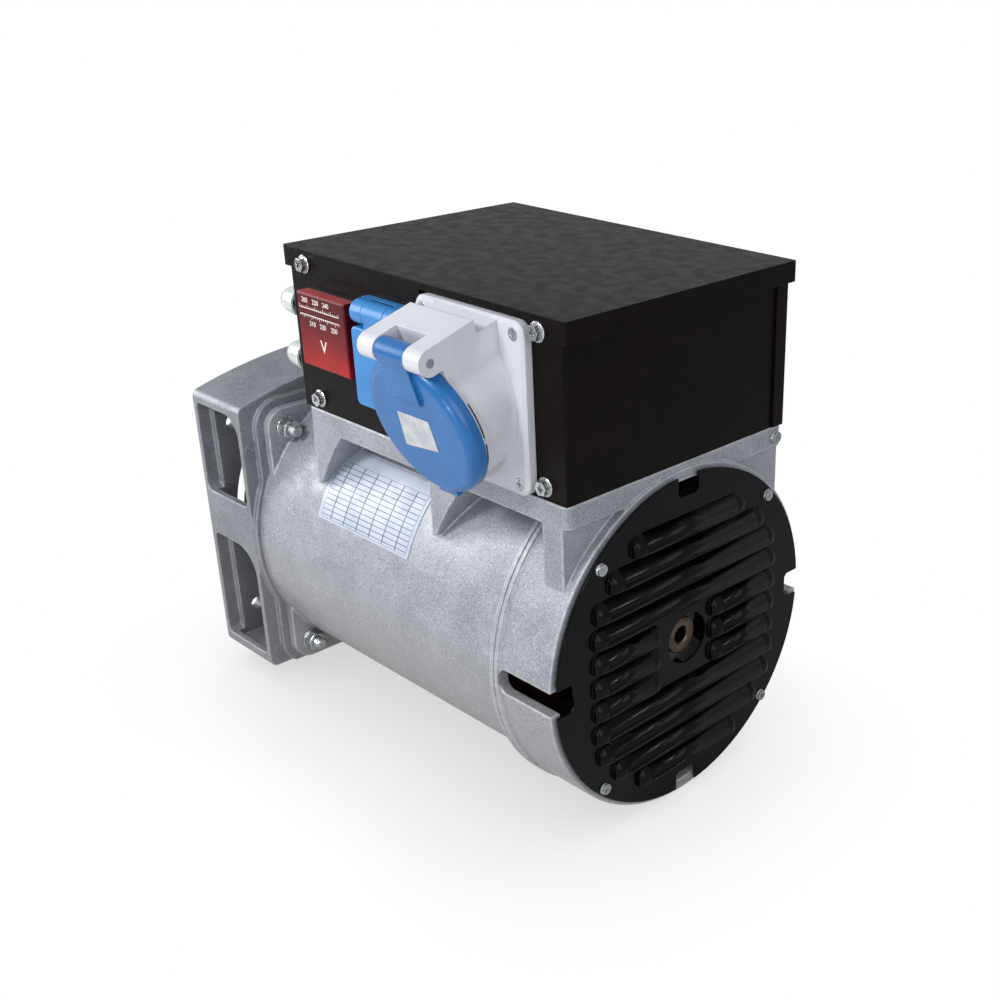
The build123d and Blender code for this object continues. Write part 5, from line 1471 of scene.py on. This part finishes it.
# -------------------------------------------------------------------------------------------- sockets
@dataclass
class Sockets:
    """Both sockets with eased mouldings and the bare label on the large lid."""

    paints: Paints
    tilt: float = 17.0
    centre: Point3 = (300.0, -100.0, 166.0)
    lid_face: float = 37.55
    label_outline: tuple[Point2, ...] = ((-18.0, -14.5), (12.0, -11.0), (12.1, 8.8), (-14.9, 8.5))
    label_thick: float = 0.18
    slit_radii: Point2 = (40.3, 39.6)
    slit_spans: tuple[Point2, ...] = ((-58, -8), (-2, 28))
    slit_place: float = 24.6
    slit_width: float = 0.7

    def here(self) -> Matrix:
        """Place of the large socket: Z out of its mouth and Y up its face."""
        c, s = math.cos(math.radians(self.tilt)), math.sin(math.radians(self.tilt))
        turn = Matrix(((1, 0, 0, 0), (0, -s, -c, 0), (0, c, -s, 0), (0, 0, 0, 1)))
        return at(*self.centre) @ turn

    def label(self) -> None:
        """Bare silver label on the lid."""
        mesh = prism("lid_label", self.label_outline, 0.0, self.label_thick)
        mesh.transform(self.here() @ at(0, 0, self.lid_face))
        piece("lid_label", mesh, self.paints.label, Body.INDUSTRIAL_LID)

    def slits(self) -> None:
        """Two thin dark prisms round the collar, behind the lid, that paint the shade inside its slits."""
        parts = []
        outer, inner = self.slit_radii
        for start, end in self.slit_spans:
            steps = [math.radians(start + (end - start) * i / 24) for i in range(25)]
            line = [(outer * math.cos(a), outer * math.sin(a)) for a in steps]
            line += [(inner * math.cos(a), inner * math.sin(a)) for a in reversed(steps)]
            parts.append((prism("slit", line, self.slit_place, self.slit_place + self.slit_width), Matrix()))
        mesh = joined("collar_slits", parts)
        mesh.transform(self.here())
        # The dark prisms are painted shade inside the slits.
        piece("collar_slits", mesh, self.paints.dark, Body.STATOR)

    def build(self) -> None:
        """Makes the mouldings."""
        for node, slot, body, width in (
                ("household_socket_lid", Slot.HOUSEHOLD_BLUE, Body.HOUSEHOLD_LID, 0.6),
                ("household_socket_body", Slot.HOUSEHOLD_BLUE, Body.STATOR, 0.5),
                ("industrial_socket_housing", Slot.SOCKET_WHITE, Body.STATOR, 0.8),
                ("industrial_lid", Slot.INDUSTRIAL_BLUE, Body.INDUSTRIAL_LID, 0.8)):
            soften(self.paints, node, "moulding", slot, (width, 3, 30.0), body)
        self.label()
        self.slits()


# ----------------------------------------------------------------------------------------- bare nodes
NODE_SLOTS: dict[str, Slot] = {
    "industrial_socket_insert": Slot.SOCKET_WHITE, "industrial_lid_gasket": Slot.SEAL_RUBBER,
    "industrial_contact_sleeves": Slot.BRASS, "household_earth_clips": Slot.BRASS,
    "terminal_studs": Slot.BRASS, "industrial_hinge_pin": Slot.ZINC_STEEL,
    "household_hinge_pin": Slot.ZINC_STEEL, "breaker_nuts": Slot.ZINC_STEEL,
    "bracket_screws": Slot.ZINC_STEEL, "voltmeter_window": Slot.METER_RED,
    "voltmeter_case": Slot.DIODE_DARK, "breaker_bodies": Slot.DIODE_DARK, "terminal_board": Slot.DIODE_DARK,
    "rotor_diodes": Slot.DIODE_DARK, "breaker_boots": Slot.BOOT_CLEAR,
    "upper_breaker_button": Slot.BUTTON_GREEN, "lower_breaker_button": Slot.BUTTON_GREEN,
    "excitation_capacitor": Slot.CAPACITOR_GREY, "stator_core": Slot.LAMINATION,
    "rotor_core": Slot.LAMINATION, "stator_winding": Slot.COPPER_WINDING,
    "rotor_winding": Slot.COPPER_WINDING, "cooling_fan": Slot.FAN_BLACK, "rotor_shaft": Slot.MACHINED_STEEL,
    "bearing_outer_race": Slot.MACHINED_STEEL, "bearing_inner_race": Slot.MACHINED_STEEL,
    "bearing_balls": Slot.MACHINED_STEEL,
}


def dress_nodes(paints: Paints) -> None:
    """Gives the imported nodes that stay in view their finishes.

    Args:
        paints: Every material.
    """
    for node, slot in NODE_SLOTS.items():
        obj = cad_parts[node]
        obj.data.materials.clear()
        obj.data.materials.append(paints[slot])
        LOG.info("%s: finished as %s", node, slot.value)


# ---------------------------------------------------------------------------------------------- studio
@dataclass
class Studio:
    """Pale floor, soft lamps and the camera."""

    azimuth: float = 42.40
    elevation: float = 24.52
    roll: float = 0.43
    place: Point3 = (860.3, -542.2, 407.5)
    lens: float = 47.96
    shift: Point2 = (-0.1764, 0.0274)
    floor_z: float = -114.9
    floor_reach: float = 9000.0
    floor_colour: Colour = (0.62, 0.62, 0.62)
    shadow_reach: float = 120.0
    shadow_tone: float = 0.62
    open_share: float = 0.97
    sky_colour: Colour = (0.93, 0.96, 1.0)
    sky_strength: float = 0.5
    lamps: tuple[tuple[str, Point3, float, float], ...] = field(default=(
        ("Key", (150.0, -950.0, 800.0), 330.0, 8.0),
        ("Fill", (1300.0, -300.0, 500.0), 900.0, 3.5),
        ("Left", (-700.0, -500.0, 400.0), 600.0, 5.0),
        ("Spark", (650.0, -1050.0, 120.0), 70.0, 1.6),
    ))

    def blend(self, tree: bpy.types.NodeTree, kind: str) -> bpy.types.Node:
        """Output that shows its first shader to lit rays and its second to the eye.

        Args:
            tree: Emptied tree.
            kind: Type of the output node.

        Returns:
            The node that blends both shaders.
        """
        nodes, links = tree.nodes, tree.links
        output, mix = nodes.new(kind), nodes.new("ShaderNodeMixShader")
        path, seen = nodes.new("ShaderNodeLightPath"), nodes.new("ShaderNodeMath")
        seen.operation = "MAXIMUM"
        links.new(path.outputs["Is Camera Ray"], seen.inputs[0])
        links.new(path.outputs["Is Transmission Ray"], seen.inputs[1])
        links.new(seen.outputs[0], mix.inputs[0])
        links.new(mix.outputs[0], output.inputs["Surface"])
        return mix

    def camera(self) -> None:
        """Makes the camera."""
        a, e, r = (math.radians(v) for v in (self.azimuth, self.elevation, self.roll))
        back = Vector((math.sin(a) * math.cos(e), -math.cos(a) * math.cos(e), math.sin(e)))
        right = Vector((math.cos(a), math.sin(a), 0))
        up = back.cross(right)
        side = right * math.cos(r) + up * math.sin(r)
        top = up * math.cos(r) - right * math.sin(r)
        data = bpy.data.cameras.new("Camera")
        data.lens, data.sensor_width = self.lens, 36.0
        data.shift_x, data.shift_y = self.shift
        data.clip_start, data.clip_end = 0.01, 50.0
        camera = hosted("Camera", data)
        turn = Matrix((side, top, back)).transposed().to_4x4()
        camera.matrix_world = at(*self.place) @ turn
        bpy.context.scene.camera = camera

    def floor(self) -> None:
        """Makes the floor, white to the eye with a soft contact shadow."""
        corners = ((-1, -1), (1, -1), (1, 1), (-1, 1))
        reach = self.floor_reach
        mesh = mesh_from("floor", [(x * reach, y * reach, self.floor_z) for x, y in corners], [[0, 1, 2, 3]])
        material = bpy.data.materials.new("Studio floor")
        material.use_nodes = True
        nodes, links = material.node_tree.nodes, material.node_tree.links
        nodes.clear()
        mix = self.blend(material.node_tree, "ShaderNodeOutputMaterial")
        plain, glow = nodes.new("ShaderNodeBsdfDiffuse"), nodes.new("ShaderNodeEmission")
        near = nodes.new("ShaderNodeAmbientOcclusion")
        plain.inputs["Color"].default_value = (*self.floor_colour, 1)
        near.samples = 12
        near.inputs["Distance"].default_value = self.shadow_reach * MM
        ramp = nodes.new("ShaderNodeMapRange")
        links.new(near.outputs["AO"], ramp.inputs["Value"])
        ramp.inputs["From Max"].default_value = self.open_share
        ramp.inputs["To Min"].default_value = self.shadow_tone
        links.new(ramp.outputs["Result"], glow.inputs["Color"])
        links.new(plain.outputs[0], mix.inputs[1])
        links.new(glow.outputs[0], mix.inputs[2])
        mesh.materials.append(material)
        hosted("floor", mesh)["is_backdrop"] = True

    def world(self) -> None:
        """Makes the world: white to the eye, softer as a light."""
        world = bpy.data.worlds.new("Studio")
        bpy.context.scene.world = world
        world.use_nodes = True
        nodes, links = world.node_tree.nodes, world.node_tree.links
        nodes.clear()
        mix = self.blend(world.node_tree, "ShaderNodeOutputWorld")
        soft, white = nodes.new("ShaderNodeBackground"), nodes.new("ShaderNodeBackground")
        soft.inputs["Color"].default_value = (*self.sky_colour, 1)
        soft.inputs["Strength"].default_value = self.sky_strength
        white.inputs["Strength"].default_value = 1.0
        white.inputs["Color"].default_value = (1, 1, 1, 1)
        links.new(soft.outputs[0], mix.inputs[1])
        links.new(white.outputs[0], mix.inputs[2])

    def lights(self) -> None:
        """Makes the lamps, all turned to the middle of the part."""
        low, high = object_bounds()
        middle = (low + high) / 2
        for name, place, size, power in self.lamps:
            data = bpy.data.lights.new(name, "AREA")
            data.shape, data.size, data.energy = "DISK", size * MM, power
            lamp = hosted(name, data)
            here = Vector(place) * MM
            turn = (here - middle).to_track_quat("Z", "Y").to_matrix().to_4x4()
            lamp.matrix_world = Matrix.Translation(here) @ turn

    def build(self) -> None:
        """Makes the studio."""
        self.camera()
        self.floor()
        self.world()
        self.lights()
        view = bpy.context.scene.view_settings
        view.view_transform = "Standard"


def main() -> None:
    """Builds the scene."""
    logging.basicConfig(level=logging.INFO, format="%(name)s %(message)s")
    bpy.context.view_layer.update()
    Studio().build()
    paints = Paints()
    dress_nodes(paints)
    for part in (Castings, RatingPlate, TerminalBox, Voltmeter, Sockets, RearCover, Fasteners):
        part(paints).build()
        LOG.info("%s done", part.__name__)


if __name__ == "__main__":
    main()
